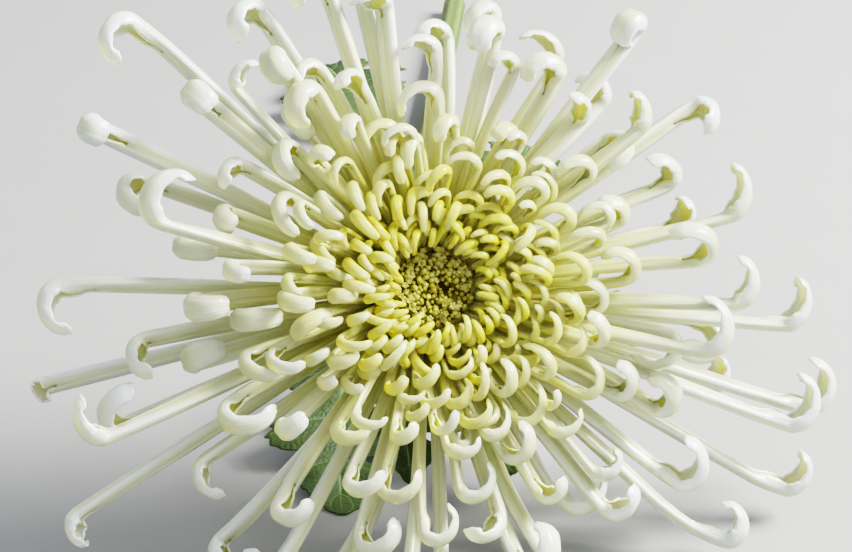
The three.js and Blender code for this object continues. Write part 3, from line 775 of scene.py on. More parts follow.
# ---------------------------------------------------------------- receptacle
# The fleshy yellow-green cushion that every floret grows from. It fills the heart of the bloom,
# is pitted where the florets leave it, and is one body with them.
RECEPTACLE_PROFILE = [
    (0, -9.2), (3.2, -9.2), (5.6, -9.0), (8.2, -7.6), (8.8, -5.4), (8.8, -2.6), (7.8, -0.8), (6.5, 0),
    (3.2, 0.1), (0, 0.12),
]
RECEPTACLE_COLUMNS = 72
RECEPTACLE_ROWS = 45
FLESH_GREEN = (0.40, 0.42, 0.07, 1)
FLESH_YELLOW = (0.58, 0.55, 0.12, 1)
PIT_BROWN = (0.25, 0.20, 0.03, 1)
receptacle = lathe("receptacle", RECEPTACLE_PROFILE, RECEPTACLE_COLUMNS, RECEPTACLE_ROWS, 0.01)
cushion, wire, surface = new_material("receptacle_flesh", Roughness=0.55, IOR=1.4, Subsurface_Weight=0.15)
place = object_place(wire)
pits = wire.add("ShaderNodeTexVoronoi", {}, {0: place, "Scale": 800})
blotches = noise(wire, place, 200)
color = mix_colors(wire, blotches, FLESH_GREEN, FLESH_YELLOW)
link(mix_colors(wire, pits.rising(0.6, 0.1) * 0.5, color, PIT_BROWN), surface, "Base Color")
bumps(wire, pits, surface, 0.6, 0.3)
dressed(receptacle, ["ray_florets"], "ray_floret", cushion)

# ---------------------------------------------------------------- disc florets
# The small olive-yellow eye: a low dome crowded with hundreds of tiny tubes. Those at its rim
# have opened into five-pointed stars and those in the middle are still closed buds.
DISC_PROFILE = [(0, 0.3), (4.5, 0.3), (6.0, 0.35), (6.25, 0.8), (5.5, 1.2), (4.6, 1.5), (2.4, 1.8), (0, 1.9)]
DISC_COLUMNS = 60
DISC_ROWS = 28
DISC_FLORETS = 300
DISC_SEED = 8
DISC_REACH = 6.6
# The height of their feet, at the middle of the eye and at its rim.
DISC_SEAT = (1.75, 0.75)
BUDS_LEAN_IN = 0.03
BUD_SIZES = (0.6, 1.2)
STARS_FROM = 0.85
# How far a disc floret strays: in its turn round the eye, reach, height, ripeness and lean.
DISC_STRAYS = {
    "around": (-0.2, 0.2), "reach": (-0.25, 0.25), "height": (-0.35, 0.45), "ripeness": (-0.4, 0.4),
    "lean": (-0.45, 0.45),
}
GOLDEN_ANGLE = math.radians(137.508)
LOBES = 5
# The dip beside the middle, where the buds sit lowest and the dome is bare.
# The dome and the buds in the dip are painted dark there, as painted shade.
DISC_HOLLOW = np.array([1.4, 0.1])
HOLLOW_TOP = 1.8
HOLLOW_RADIUS = 1.6
HOLLOW_DEPTH = 0.8
HOLLOW_SHADOWING = 0.9
HOLLOW_SHADE = (2.6 * MM, 1.0 * MM)
BARE_FROM = 0.8
DOME_BROWN = (0.10, 0.075, 0.008, 1)
DOME_YELLOW = (0.28, 0.23, 0.02, 1)
HOLLOW_SHADOW_BROWN = (0.035, 0.02, 0.004, 1)
# Radius and height of a disc floret from its foot, and how far its lobes stand out there.
BUD_PROFILE = [
    (0.26, -0.5, 0), (0.34, 0.2, 0.04), (0.46, 0.7, 0.1), (0.38, 1.0, 0.2), (0.17, 1.16, 0.16), (0, 1.2, 0),
]
STAR_PROFILE = [
    (0.24, -0.5, 0), (0.28, 0.4, 0), (0.38, 0.85, 0.08), (0.54, 1.1, 0.24), (0.3, 1.02, 0.1), (0, 0.75, 0),
]


def distance_from(wire, place, point):
    sockets = {0: place, 1: Vector(from_head(np.array(point)))}
    return wire.add("ShaderNodeVectorMath", {"operation": "DISTANCE"}, sockets, output=1)


dome = lathe("disc_dome", DISC_PROFILE, DISC_COLUMNS, DISC_ROWS, 0.012)
dome_skin, wire, surface = new_material("disc_dome", Roughness=0.8, IOR=1.4, Specular_IOR_Level=0.15)
place = object_place(wire)
grain = noise(wire, place, 900)
color = mix_colors(wire, grain.rising(0.35, 0.65), DOME_BROWN, DOME_YELLOW)
from_hollow = distance_from(wire, place, [*DISC_HOLLOW, HOLLOW_TOP])
# Painted shade: the dome goes dark brown round the dip.
link(mix_colors(wire, from_hollow.rising(*HOLLOW_SHADE), color, HOLLOW_SHADOW_BROWN), surface, "Base Color")
bumps(wire, grain, surface, 0.8, 0.3)
dressed(dome, ["disc_florets"], "disc_floret", dome_skin)


def disc_floret(name, profile):
    """One small tube with five lobes, upright on the head's axis."""
    floret, columns, rows = sheet_of_faces(name, 2 * LOBES, len(profile) - 1)
    turn = 2 * math.pi * columns / (2 * LOBES)
    radius, height, lobe = np.array(profile, dtype=float)[rows.astype(int)].T
    radius = radius * (1 + lobe * np.cos(LOBES * turn))
    lay_uv(floret, columns / (2 * LOBES), rows / (len(profile) - 1))
    shape(floret, round_axis(radius, turn, height) * MM)
    close_seams(floret)
    return floret


# Colours of a bud from its foot up to its lobes, and of one that has ripened.
# The near-black foot of the ramp is painted shade among the crowded buds.
BUD_COLORS = [
    (0.0, (0.08, 0.055, 0.005)), (0.3, (0.28, 0.23, 0.015)), (0.6, (0.54, 0.48, 0.05)),
    (1.0, (0.78, 0.73, 0.24)),
]
BUD_RIPE = (0.20, 0.13, 0.015, 1)


def disc_material():
    material, wire, surface = new_material("disc_floret_skin", Roughness=0.5, IOR=1.4, Subsurface_Weight=0.12)
    around, height = uv_places(wire)
    tone = tone_of(wire)
    place = object_place(wire)
    # Painted shade: each bud is darker towards its foot.
    color = wire.add("ShaderNodeValToRGB", {"stops": BUD_COLORS}, {0: height + (tone - 0.6) * 0.6})
    ripe = noise(wire, place, 260).rising(0.52, 0.72)
    link(mix_colors(wire, ripe * 0.45, color, BUD_RIPE), surface, "Base Color")
    bumps(wire, noise(wire, place, 1500), surface, 0.5, 0.08)
    return material


closed_bud = disc_floret("closed_bud", BUD_PROFILE)
open_star = disc_floret("open_star", STAR_PROFILE)
disc_draws = np.random.default_rng(DISC_SEED)
disc_florets = []
for number in range(DISC_FLORETS):
    share = math.sqrt((number + 0.5) / DISC_FLORETS)
    around = number * GOLDEN_ANGLE + disc_draws.uniform(*DISC_STRAYS["around"])
    reach = DISC_REACH * share + disc_draws.uniform(*DISC_STRAYS["reach"])
    foot = reach * np.array([math.cos(around), math.sin(around)])
    hollow = float(bump(0, HOLLOW_RADIUS, np.linalg.norm(foot - DISC_HOLLOW)))
    if hollow > BARE_FROM:
        continue
    seat = mix(*DISC_SEAT, share ** 2) - HOLLOW_DEPTH * hollow
    seat = seat + disc_draws.uniform(*DISC_STRAYS["height"])
    is_open = share + disc_draws.uniform(*DISC_STRAYS["ripeness"]) > STARS_FROM
    copy = copied(open_star if is_open else closed_bud)
    spin = Matrix.Rotation(disc_draws.uniform(0, 2 * math.pi), 3, "Z")
    bud = mesh_points(copy) @ np.array(spin) / MM * disc_draws.uniform(*BUD_SIZES)
    bud[:, :2] += bud[:, 2:3] * (disc_draws.uniform(*DISC_STRAYS["lean"], 2) - BUDS_LEAN_IN * foot)
    shape(copy, from_head(bud + np.array([*foot, seat])))
    # Buds in the dip get a lower tone, which paints them darker as painted shade.
    set_tone(copy, disc_draws.uniform(0, 1) * (1 - HOLLOW_SHADOWING * hollow))
    disc_florets.append(copy)
bpy.data.objects.remove(closed_bud)
bpy.data.objects.remove(open_star)
disc_florets = join("disc_florets_open", disc_florets)
dressed(disc_florets, ["disc_florets"], "disc_floret", disc_material())

# ---------------------------------------------------------------- ray florets
# About 300 petals, each one a closed tube of thin waxy tissue that splits open along its inner
# side near the end and curls over as a narrow spoon. The outer ones are white and the inner ones
# yellow, and all of them grow from the receptacle.
TABLE_UP = HEAD_AXES[:, 2]
# How high over the table the lowest florets run, and how far above that they begin to level out.
TABLE_CLEARANCE = 1.9
TABLE_SOFTNESS = 12

# The spiral of florets, from the innermost (age 0) to the outermost (age 1).
RULED_FLORETS = 173
CANDIDATES = 12
FLORET_SEED = 2024
# Young florets fill the heart last, slimmer, at places between the others of the spiral.
YOUNG_FLORETS = 104
YOUNG_GIRTH = 0.85
# For the innermost floret, for the outermost, and the power of the age that leads to it.
LEAN = (19, 94, 1.1)
CURL_SIDE = (25, 68, 0.6)
STALK_LENGTH = (6.2, 45, 1.9)
HOOK_RADIUS = (1.5, 4.0, 0.95)
MOUTH_SIZE = (1.3, 2.9, 1.25)
ROOT_RADIUS = (7.0, 9.1, 1)
ROOT_HEIGHT = (0, -6.2, 1)
# How stout the tubes are against the mouths of the rule, the innermost and the outermost.
GIRTHS = (0.96, 1.24)
HOOK_TURNS = (140, 225)
HOOK_TIGHTNESS = (1.1, 1.9)
# Those on the left curl less to their side, and a few curl the other way.
LEFT_CURLS_BACK = 42
CURL_THE_OTHER_WAY = 0.08
LONG_TIGHTNESS = 1.35
# How far a floret strays from the rule, in degrees or as a share.
STRAYS = {
    "lean": 7, "around": 3, "side": 30, "length": 0.12, "radius": 0.25, "sweep": 12, "girth": 0.14,
}
ARCH = math.radians(8)
ROOT_SUNK = 1.9
STALK_STEPS = 24
HOOK_STEPS = 24
TIP_STEP = STALK_STEPS + HOOK_STEPS

# The longest florets: direction round the head, lean from its axis, stalk length, hook radius,
# hook turn and the side that it curls to, in degrees and millimetres.
LONG_FLORETS = [
    (172, 88, 53, 4.2, 175, 78), (147, 88, 54, 2.0, 250, 18), (131, 84, 58, 4.2, 185, 74),
    (161, 70, 41, 4.6, 195, -80), (-163, 80, 52, 4.4, 140, -76), (-155, 96, 61, 3.2, 130, 70),
    (-174, 102, 58, 3.0, 60, 40), (134, 80, 42, 3.4, 190, 10), (118, 72, 39, 2.2, 280, 40),
    (116, 64, 32, 3.4, 205, 66), (101, 86, 46, 3.6, 190, 66), (94, 92, 52, 3.4, 160, 66),
    (69, 74, 36, 3.6, 200, 30), (52, 70, 34, 3.4, 200, 60), (44, 78, 49, 2.4, 290, 40),
    (30, 72, 37, 4.4, 110, 76), (27, 86, 49, 3.0, 190, -50), (6, 76, 45, 5.4, 125, 82),
    (-11, 70, 44, 4.4, 150, 76), (-13, 84, 54, 5.0, 135, 80), (-22, 66, 40, 4.8, 175, 80),
    (-24, 90, 62, 4.6, 180, 70), (-28, 84, 58, 4.8, 170, 76), (-36, 92, 64, 4.0, 150, 70),
    (-50, 86, 58, 3.4, 195, 80), (-59, 82, 39, 3.6, 160, 50), (-76, 90, 54, 3.4, 150, 40),
    (-101, 92, 58, 3.2, 130, 40), (-126, 90, 55, 3.2, 150, 60),
]


# The draws of the rule: a plain congruential series, which the part's source repeats.
DRAW_SPREAD = 2654435761
DRAW_FACTOR = 1664525
DRAW_STEP = 1013904223
DRAW_RANGE = 4294967296


def seeded_draws(seed):
    state = seed * DRAW_SPREAD % DRAW_RANGE
    while True:
        state = (state * DRAW_FACTOR + DRAW_STEP) % DRAW_RANGE
        yield state / DRAW_RANGE


def grown(rule, age):
    start, end, power = rule
    return mix(start, end, age ** power)


def ruled_floret(place, number, attempt):
    """Age, direction, lean, stalk length, hook radius, turn, side, sweep, girth and tightness."""
    age = place / (RULED_FLORETS - 1)
    draws = seeded_draws(FLORET_SEED + number * CANDIDATES + attempt)
    next(draws)

    def stray(what):
        return STRAYS[what] * (2 * next(draws) - 1)

    lean = grown(LEAN, age) + stray("lean")
    around = place * GOLDEN_ANGLE + math.radians(stray("around"))
    leftward = max(0, -math.cos(around)) * LEFT_CURLS_BACK * age ** 0.5
    side = grown(CURL_SIDE, age) - leftward + stray("side")
    length = grown(STALK_LENGTH, age) * (1 + stray("length"))
    radius = grown(HOOK_RADIUS, age) * (1 + stray("radius"))
    turn = mix(*HOOK_TURNS, next(draws))
    side = -side if next(draws) < CURL_THE_OTHER_WAY else side
    sweep = stray("sweep")
    girth = 1 + stray("girth")
    tightness = mix(*HOOK_TIGHTNESS, next(draws))
    lean, turn, side, sweep = (math.radians(angle) for angle in (lean, turn, side, sweep))
    return [age, around, lean, length, radius, turn, side, sweep, girth, tightness]


def long_floret(around, lean, length, radius, turn, side):
    around, lean, turn, side = (math.radians(angle) for angle in (around, lean, turn, side))
    return [1, around, lean, length, radius, turn, side, 0, 1, LONG_TIGHTNESS]


def dot(a, b):
    return np.sum(a * b, axis=-1, keepdims=True)


def eased_onto_table(along, point):
    """Florets come down on the table gently and then run along it."""
    rise = dot(along, TABLE_UP)
    level = along - rise * TABLE_UP
    room = (HEAD_AT[2] + dot(point, TABLE_UP) - TABLE_CLEARANCE) / TABLE_SOFTNESS
    lowest = -room * np.linalg.norm(level, axis=-1, keepdims=True)
    return np.where(rise >= lowest, along, unit(level + lowest * TABLE_UP))


def floret_paths(sizes):
    """Where each floret runs: its points, directions and the way across it, at every step."""
    age, around, lean, length, radius, turn, side, sweep, girth, tightness = np.hsplit(sizes, 10)
    level = np.zeros_like(age)
    outward = np.hstack([np.cos(around), np.sin(around), level])
    across = np.hstack([-np.sin(around), np.cos(around), level])
    start = lean - ARCH
    along = outward * np.sin(start) + np.hstack([level, level, np.cos(start)])
    point = outward * grown(ROOT_RADIUS, age) + np.hstack([level, level, grown(ROOT_HEIGHT, age)])
    point = point - along * ROOT_SUNK
    path = [(point, along, across)]
    for step in range(STALK_STEPS):
        droop = np.cross(across, along)
        along = unit(along + droop * 2 * ARCH / STALK_STEPS + across * sweep / STALK_STEPS)
        along = eased_onto_table(along, point)
        point = point + along * (length + ROOT_SUNK) / STALK_STEPS
        across = unit(across - along * dot(across, along))
        turned = -side * (step + 1) / STALK_STEPS
        path.append((point, along, across * np.cos(turned) + np.cross(along, across) * np.sin(turned)))
    curl = np.cross(along, across) * np.cos(side) + across * np.sin(side)
    flat = np.cross(curl, along)
    for step in range(HOOK_STEPS):
        bending = mix(tightness, 2 - tightness, (step + 0.5) / HOOK_STEPS)
        along = eased_onto_table(unit(along + curl * turn / HOOK_STEPS * bending), point)
        point = point + along * radius * turn / HOOK_STEPS
        curl = unit(np.cross(along, flat))
        path.append((point, along, unit(flat - along * dot(flat, along))))
    return [np.stack(parts, axis=1) for parts in zip(*path)]


# Crowding counts from a step of the path on, within a share of the mouth's width.
CROWDED_FROM_STEP = 8
CROWDED_WITHIN = 0.45


def least_crowded(points, half):
    """Rows of the florets that are kept: the long ones, then the best of each one's candidates."""
    kept = list(range(len(LONG_FLORETS)))
    for first in range(len(LONG_FLORETS), len(points), CANDIDATES):
        placed = points[kept, CROWDED_FROM_STEP::2]
        placed_half = np.repeat(half[kept], placed.shape[1])
        placed = placed.reshape(-1, 3)
        crowding = []
        for row in range(first, first + CANDIDATES):
            apart = points[row, CROWDED_FROM_STEP::4, None] - placed
            press = half[row] + placed_half - np.sqrt(np.einsum("ijk,ijk->ij", apart, apart))
            crowding.append(np.sum(np.maximum(press, 0) ** 2))
        kept.append(first + int(np.argmin(crowding)))
    return kept


places = [*range(RULED_FLORETS), *(young + 0.5 for young in range(YOUNG_FLORETS))]
candidates = [long_floret(*sizes) for sizes in LONG_FLORETS]
for number, place in enumerate(places):
    candidates += [ruled_floret(place, number, attempt) for attempt in range(CANDIDATES)]
florets = np.array(candidates)
points, alongs, acrosses = floret_paths(florets)
mouths = grown(MOUTH_SIZE, florets[:, 0]) * florets[:, 8]
mouths[-YOUNG_FLORETS * CANDIDATES:] *= YOUNG_GIRTH
kept = least_crowded(points, mouths * CROWDED_WITHIN)
points, alongs, acrosses = points[kept], alongs[kept], acrosses[kept]
ages = florets[kept, 0]
mouths = mouths[kept] * mix(*GIRTHS, ages)

# One floret is modelled straight and upright: a sheet that is rolled into a tube, with its seam
# towards the inside of the hook. Its rows are steps of the path, close together at the mouth.
# Heights and depths are shares of the tube's radius.
MOUTH_STEP = 23
MOUTH_OPEN_BY = 26.5
SEAM_DEPTH = 0.28
SEAM_WIDTH = 0.12
SPLIT_FROM = 0.985
SPLIT_OPEN_BY = 24.5
TOOTH_STEP = 24.6
TOOTH_LENGTH = 0.8
TOOTH_FROM = 0.8
TOOTH_HEIGHT = 0.6
TOOTH_NARROWING = 0.15
RIM_HEIGHT = 0.7
RIM_CURLS = (math.radians(112), math.radians(74))
# Grooves along the spoon: how far out from its middle, and how deep.
SPOON_GROOVES = [(0, 0.18), (0.5, 0.14)]
SPOON_GROOVE_WIDTH = 0.14
TIP_FROM = 34
TIP_ROUNDING = 4.0
TIP_FULLNESS = 0.97
TIP_SLANT = 0.12
TIP_NOTCH = 0.12
TIP_NOTCH_WIDTH = 0.2
BEAK_FROM = 43
BEAK = 0.9
FACETS = 5
FACET = 2 * math.pi / FACETS
FACET_CORNER = 1.1
FACET_SHARPNESS = 0.8
STRAIGHT_SEAM_MEETS_WITHIN = 0.0001
FINE_COLUMNS = 20
FINE_ROWS = [*range(0, 22, 2), 22, MOUTH_STEP, 23.4, 23.8, 24.3, *range(25, TIP_STEP + 1)]
SMALL_COLUMNS = 14
SMALL_ROWS = [0, 7, 13, 18, 21, MOUTH_STEP, 23.6, 24.3, *range(25, 36), 38, 40, 42, 44, 45.5, 47, TIP_STEP]


def smoothly(start, end, value):
    share = np.clip((value - start) / (end - start), 0, 1)
    return share * share * (3 - 2 * share)


def cut_faces(sheet, is_cut):
    bpy.context.tool_settings.mesh_select_mode = (False, False, True)
    bpy.ops.object.mode_set(mode="EDIT")
    bpy.ops.mesh.select_all(action="DESELECT")
    bpy.ops.object.mode_set(mode="OBJECT")
    for face in sheet.data.polygons:
        face.select = is_cut(face)
    bpy.ops.object.mode_set(mode="EDIT")
    bpy.ops.mesh.delete(type="FACE")
    bpy.ops.object.mode_set(mode="OBJECT")


def facetted(turn):
    """The radius of a tube with flat sides, by the turn from the middle of the one at its back."""
    flat_sided = FACET_CORNER * math.cos(FACET / 2) / np.cos((turn + FACET / 2) % FACET - FACET / 2)
    return mix(1, flat_sided, FACET_SHARPNESS)


def straight_floret(name, sheet_columns, row_steps):
    """A straight tube that opens at its mouth into a spoon with a rounded, slightly beaked tip."""
    floret, columns, rows = sheet_of_faces(name, sheet_columns, len(row_steps) - 1)
    steps = np.interp(rows, range(len(row_steps)), row_steps)
    lay_uv(floret, columns / sheet_columns, steps / TIP_STEP)
    from_seam = 2 * columns / sheet_columns - 1
    share, seam_side = np.abs(from_seam), np.sign(from_seam)
    rim_share = 1 - 2 / sheet_columns
    is_rim = (np.abs(share - rim_share) < 0.01) & (steps > MOUTH_STEP)
    split = mix(SPLIT_FROM, rim_share, smoothly(MOUTH_STEP, SPLIT_OPEN_BY, steps))
    share = np.where(is_rim, split, share)
    radius = facetted(share * np.pi) * (1 - SEAM_DEPTH * bump(0, SEAM_WIDTH, 1 - share))
    tube_across = seam_side * np.sin(share * np.pi) * radius
    tube_inward = -np.cos(share * np.pi) * radius
    rim = np.minimum(1, share / rim_share)
    curl = mix(*RIM_CURLS, smoothly(TIP_FROM, TIP_STEP, steps))
    spoon_across = seam_side * np.sin(rim * curl) / np.sin(np.minimum(curl, math.pi / 2))
    grooves = sum(depth * bump(out, SPOON_GROOVE_WIDTH, rim) for out, depth in SPOON_GROOVES)
    spoon_inward = RIM_HEIGHT - (1 + RIM_HEIGHT) * np.cos(rim * curl) + grooves
    is_open = smoothly(MOUTH_STEP, MOUTH_OPEN_BY, steps)
    tooth = bump(TOOTH_STEP, TOOTH_LENGTH, steps) * smoothly(TOOTH_FROM, 1, rim)
    across = mix(tube_across, spoon_across, is_open) * (1 - TOOTH_NARROWING * tooth)
    inward = mix(tube_inward, spoon_inward, is_open) + TOOTH_HEIGHT * tooth
    inward = inward + BEAK * smoothly(BEAK_FROM, TIP_STEP, steps) ** 2
    tip = np.clip((steps - TIP_FROM) / (TIP_STEP - TIP_FROM), 0, 1) ** 2
    notch = TIP_NOTCH * bump(0, TIP_NOTCH_WIDTH, rim)
    rounding = 1 - np.sqrt(1 - TIP_FULLNESS * rim ** 2) + TIP_SLANT * rim * seam_side + notch
    shape(floret, np.stack([across, inward, steps - tip * TIP_ROUNDING * rounding], axis=1))
    mouth_row = row_steps.index(MOUTH_STEP)
    cut_faces(floret, lambda face: (
        face.index // sheet_columns >= mouth_row
        and face.index % sheet_columns in (0, sheet_columns - 1)
    ))
    close_seams(floret, STRAIGHT_SEAM_MEETS_WITHIN)
    return floret


# Depth of the hook's trough as a share of the mouth's width, from the mouth to the tip.
SPOON_PLACES = [0, 0.15, 0.4, 0.75, 1]
SPOON_DEPTHS = [0.64, 0.6, 0.48, 0.36, 0.25]
LEAST_SPOON_DEPTH = 0.55
# The share of the hook by which the spoon is at its widest.
SPOON_OPEN_BY = 0.25
# For the innermost florets and for the outermost: how far the spoon closes towards its tip, how
# much wider and deeper it gets than the mouth, and how wide the tube is at its foot.
SPOON_CLOSING = (1.05, 0.62)
SPOON_WIDENING = (1.1, 1.45)
SPOON_DEEPENING = (1.0, 1.4)
STALK_FOOT_WIDTHS = (1.0, 1.3)
# The tube's depth as a share of its width, from the foot to the mouth.
STALK_DEPTHS = (0.9, 0.66)


def floret_section(age, mouth, steps):
    """Width and depth of a floret at some steps of its path."""
    up = np.clip(steps / STALK_STEPS, 0, 1)
    on = np.clip((steps - STALK_STEPS) / HOOK_STEPS, 0, 1)
    stalk_width = mix(mix(*STALK_FOOT_WIDTHS, age), mouth, 1 - (1 - up) ** 1.5)
    spoon = mouth * mix(*SPOON_WIDENING, age)
    opened = np.sin(np.pi / 2 * np.minimum(1, on / SPOON_OPEN_BY))
    closed = np.maximum(0, on - SPOON_OPEN_BY) / (1 - SPOON_OPEN_BY)
    spoon_width = mix(mouth, spoon, opened) * np.cos(mix(*SPOON_CLOSING, age) * closed)
    spoon_depth = mouth * np.interp(on, SPOON_PLACES, SPOON_DEPTHS)
    spoon_depth = spoon_depth * mix(1, mix(*SPOON_DEEPENING, age), opened)
    spoon_depth = np.maximum(LEAST_SPOON_DEPTH, spoon_depth)
    in_stalk = steps <= STALK_STEPS
    width = np.where(in_stalk, stalk_width, spoon_width)
    return width, np.where(in_stalk, stalk_width * mix(*STALK_DEPTHS, up), spoon_depth)


def along_path(path, steps):
    low = np.clip(steps.astype(int), 0, TIP_STEP - 1)
    return mix(path[low], path[low + 1], (steps - low)[:, None])


# Each mouth lies some steps on or back, and the spoon's rims are slightly waved.
BEND_SEED = 11
MOUTH_SHIFTS = (-1.8, 0.8)
MOUTH_SHIFT_SPREAD = 7
RIM_WAVE = 0.1
RIM_WAVE_RUN = 1.1
RIM_WAVED_BY = 30
FLORET_LEAST_HEIGHT = 0.15


def bent_floret(straight, number, draws):
    """A copy of the straight floret, bent along its own path."""
    across, inward, steps = mesh_points(straight).T
    shift = draws.uniform(*MOUTH_SHIFTS)
    steps = np.clip(steps + shift * bump(STALK_STEPS, MOUTH_SHIFT_SPREAD, steps), 0, TIP_STEP)
    width, depth = floret_section(ages[number], mouths[number], steps)
    way_across = unit(along_path(acrosses[number], steps))
    facing = unit(np.cross(along_path(alongs[number], steps), way_across))
    wave = RIM_WAVE * np.sin(RIM_WAVE_RUN * steps + draws.uniform(0, 6))
    wave = wave * smoothly(MOUTH_STEP, RIM_WAVED_BY, steps)
    bent = along_path(points[number], steps)
    bent = bent + way_across * (across * width / 2)[:, None]
    bent = bent + facing * ((inward + wave * np.abs(across) ** 3) * depth / 2)[:, None]
    below = np.minimum(0, HEAD_AT[2] + bent @ TABLE_UP - FLORET_LEAST_HEIGHT)
    floret = copied(straight)
    shape(floret, from_head(bent - below[:, None] * TABLE_UP))
    set_tone(floret, draws.uniform(0, 1))
    return floret


# Petal colours by distance from the middle of the head, in millimetres.
HEAD_CENTRE = (0, 0, 2.0)
PETAL_REACH = 70
PETAL_OUTSIDE = [
    (6, (0.85, 0.69, 0.01)), (11, (0.90, 0.77, 0.03)), (17, (0.91, 0.82, 0.12)),
    (25, (0.88, 0.85, 0.34)), (36, (0.83, 0.87, 0.62)), (58, (0.80, 0.88, 0.83)),
]
PETAL_INSIDE = [
    (6, (0.86, 0.67, 0.01)), (12, (0.88, 0.74, 0.02)), (20, (0.88, 0.79, 0.11)),
    (30, (0.82, 0.82, 0.40)), (46, (0.83, 0.86, 0.68)), (60, (0.84, 0.88, 0.82)),
]
# The pale crest of the hooks is a painted highlight.
HOOK_HIGHLIGHT = (0.93, 0.96, 0.82, 1)
# Painted shade for the bend of the hooks.
BEND_SHADE = (0.40, 0.41, 0.13, 1)
MOUTH_YELLOW = (0.80, 0.74, 0.26, 1)
# Painted shade for the tube's grooves and seam.
FACET_SHADE = (0.66, 0.64, 0.26, 1)
BRUISE = (0.40, 0.27, 0.10, 1)


def petal_material(name, colors, highlight_strength, mouth_yellowing):
    material, wire, surface = new_material(
        name, IOR=1.5, Subsurface_Weight=0.75, Subsurface_Scale=1.5 * MM,
        Subsurface_Radius=(1.0, 0.9, 0.3), Coat_IOR=1.6, Coat_Roughness=0.24,
    )
    place = object_place(wire)
    around, along = uv_places(wire)
    tone = tone_of(wire)
    reach = distance_from(wire, place, HEAD_CENTRE)
    patches = noise(wire, place, 90)
    far = reach / (PETAL_REACH * MM) + (patches - 0.5) * 0.1 + (tone - 0.5) * 0.15
    stops = [(distance / PETAL_REACH, color) for distance, color in colors]
    color = wire.add("ShaderNodeValToRGB", {"stops": stops}, {0: far})
    hook = along.rising(0.48, 0.62)
    streaks = noise(wire, stretched(wire, around * 9, along * 1.4, tone * 40), 2.6)
    fine = noise(wire, stretched(wire, around * 34, along * 3, tone * 40), 2.6)
    # Painted shade in the tube's grooves: more olive along the middle of its flat sides and its seam.
    seam = (around - 0.5).size().rising(0.42, 0.5) * (1 - hook)
    flats = ((around - 0.5) * (2 * math.pi * FACETS)).cosine() * 0.5 + 0.5
    color = mix_colors(wire, flats * (1 - hook) * (0.3 + patches * 0.6), color, FACET_SHADE)
    color = mix_colors(wire, seam * 0.9, color, FACET_SHADE)
    # Painted highlight on the back of the spoon near its tip and on its rims, and a yellower mouth.
    crest_highlight = along.rising(0.72, 0.98) * around.near(0.5, 0.36).rising(0, 0.6) * (0.6 + streaks * 0.6)
    rims = hook * (around - 0.5).size().rising(0.36, 0.42)
    painted_highlight = (crest_highlight + rims * 0.6) * far.rising(-0.15, 0.75) * highlight_strength
    color = mix_colors(wire, painted_highlight, color, HOOK_HIGHLIGHT)
    # Painted shade: the bend of the hook is painted darker olive on the outer florets.
    bend = along.near(0.68, 0.26) * around.near(0.5, 0.34).rising(0, 0.7) * (0.35 + patches * 0.7)
    color = mix_colors(wire, bend * far.rising(0.05, 0.4), color, BEND_SHADE)
    mouth = along.near(0.5, 0.08) * streaks.rising(0.35, 0.65)
    color = mix_colors(wire, mouth * mouth_yellowing, color, MOUTH_YELLOW)
    color = multiply_color(wire, color, 0.8 + streaks * 0.22 + fine * 0.14 + (tone - 0.5) * 0.16)
    # A few tips and mouths are bruised.
    spots = noise(wire, place, 420).rising(0.6, 0.72)
    bruised = (along.rising(0.92, 1.0) + along.near(0.5, 0.03)) * spots * tone
    color = mix_colors(wire, bruised * 0.7, color, BRUISE)
    link(color, surface, "Base Color")
    link(0.3 + far.rising(0.15, 0.6) * 0.7, surface, "Coat Weight")
    link(0.26 + streaks * 0.2, surface, "Roughness")
    bumps(wire, streaks + fine + flats * (1 - hook * 0.6), surface, 0.8, 0.3)
    return material


petal_outside = petal_material("petal_outside", PETAL_OUTSIDE, 0.9, 0.12)
petal_inside = petal_material("petal_inside", PETAL_INSIDE, 0.0, 0.4)

# How many florets of the spiral lie inside the outer edge of each whorl.
WHORL_ENDS = (48, 92, 132, RULED_FLORETS)
longest = len(LONG_FLORETS)
innermost, inner, middle, outer = (longest + end for end in WHORL_ENDS)
fine_floret = straight_floret("fine_floret", FINE_COLUMNS, FINE_ROWS)
small_floret = straight_floret("small_floret", SMALL_COLUMNS, SMALL_ROWS)
# The whorls: a name, the florets in it, the thickness of their walls and what they are bent from.
WHORLS = [
    ("florets_longest", range(longest), 0.4, fine_floret),
    ("florets_young", range(outer, outer + YOUNG_FLORETS), 0.24, small_floret),
    ("florets_innermost", range(longest, innermost), 0.26, small_floret),
    ("florets_inner", range(innermost, inner), 0.3, small_floret),
    ("florets_middle", range(inner, middle), 0.34, fine_floret),
    ("florets_outer", range(middle, outer), 0.38, fine_floret),
]
floret_draws = np.random.default_rng(BEND_SEED)
for name, numbers, wall, straight in WHORLS:
    whorl = join(name, [bent_floret(straight, number, floret_draws) for number in numbers])
    dressed(whorl, ["ray_florets"], "ray_floret", petal_outside, petal_inside)
    thicken(whorl, wall, lining=1)
    whorl.data.shade_smooth()
bpy.data.objects.remove(fine_floret)
bpy.data.objects.remove(small_floret)

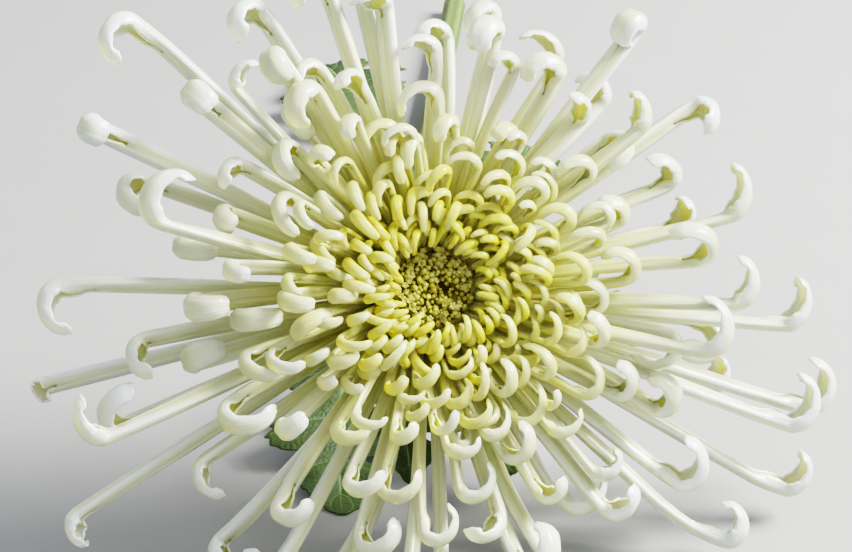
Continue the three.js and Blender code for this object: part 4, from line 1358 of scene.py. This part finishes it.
# ---------------------------------------------------------------- table, light and camera
# A plain pale table top under the flower, one soft window light from the upper right and a dim
# pale room all round.
TABLE_SIZE = 4
TABLE_GREY = (0.30, 0.30, 0.305)
ROOM_WHITE = (0.94, 0.97, 1.0, 1)
ROOM_STRENGTH = 0.85
WINDOW_WHITE = (1.0, 0.98, 0.93)
WINDOW_POWER = 24
WINDOW_SIZE = 0.34
WINDOW_PLACE = Vector((0.6, -0.14, 0.55))
AIM = Vector((-2.2, -83.1, 48.6)) * MM
bpy.ops.object.select_all(action="DESELECT")
bpy.ops.mesh.primitive_plane_add(size=TABLE_SIZE, location=(0, 0, 0))
table = bpy.context.object
table.name = "table"
table_finish, wire, surface = new_material("table_finish", Roughness=0.8)
speckle = noise(wire, object_place(wire), 60)
link(multiply_color(wire, TABLE_GREY, 0.97 + speckle * 0.06), surface, "Base Color")
table.data.materials.append(table_finish)
table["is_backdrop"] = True

room = bpy.data.worlds.new("room")
bpy.context.scene.world = room
room.use_nodes = True
room.node_tree.nodes["Background"].inputs["Color"].default_value = ROOM_WHITE
room.node_tree.nodes["Background"].inputs["Strength"].default_value = ROOM_STRENGTH
bpy.context.scene.view_settings.view_transform = "Filmic"
bpy.context.scene.view_settings.look = "High Contrast"

light = bpy.data.lights.new("window", "AREA")
light.size = WINDOW_SIZE
light.energy = WINDOW_POWER
light.color = WINDOW_WHITE
window = bpy.data.objects.new("window", light)
window.location = WINDOW_PLACE
window.rotation_euler = (AIM - WINDOW_PLACE).to_track_quat("-Z", "Y").to_euler()
bpy.context.collection.objects.link(window)

# The camera looks down on the bloom from its left.
CAMERA_AZIMUTH = math.radians(-14)
CAMERA_ELEVATION = math.radians(30)
CAMERA_DISTANCE = 0.4
LENS_LENGTH = 100
SENSOR_WIDTH = 36
NEAREST_SEEN = 0.01
lens = bpy.data.cameras.new("camera")
lens.lens = LENS_LENGTH
lens.sensor_width = SENSOR_WIDTH
lens.clip_start = NEAREST_SEEN
camera = bpy.data.objects.new("camera", lens)
bpy.context.collection.objects.link(camera)
back = Vector((
    math.sin(CAMERA_AZIMUTH) * math.cos(CAMERA_ELEVATION),
    -math.cos(CAMERA_AZIMUTH) * math.cos(CAMERA_ELEVATION),
    math.sin(CAMERA_ELEVATION),
))
camera.location = AIM + back * CAMERA_DISTANCE
camera.rotation_euler = back.to_track_quat("Z", "Y").to_euler()
bpy.context.scene.camera = camera

visual_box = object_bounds()
sizes = {"cad_box": [list(corner) for corner in cad_box]}
sizes["visual_box"] = [list(corner) for corner in visual_box]
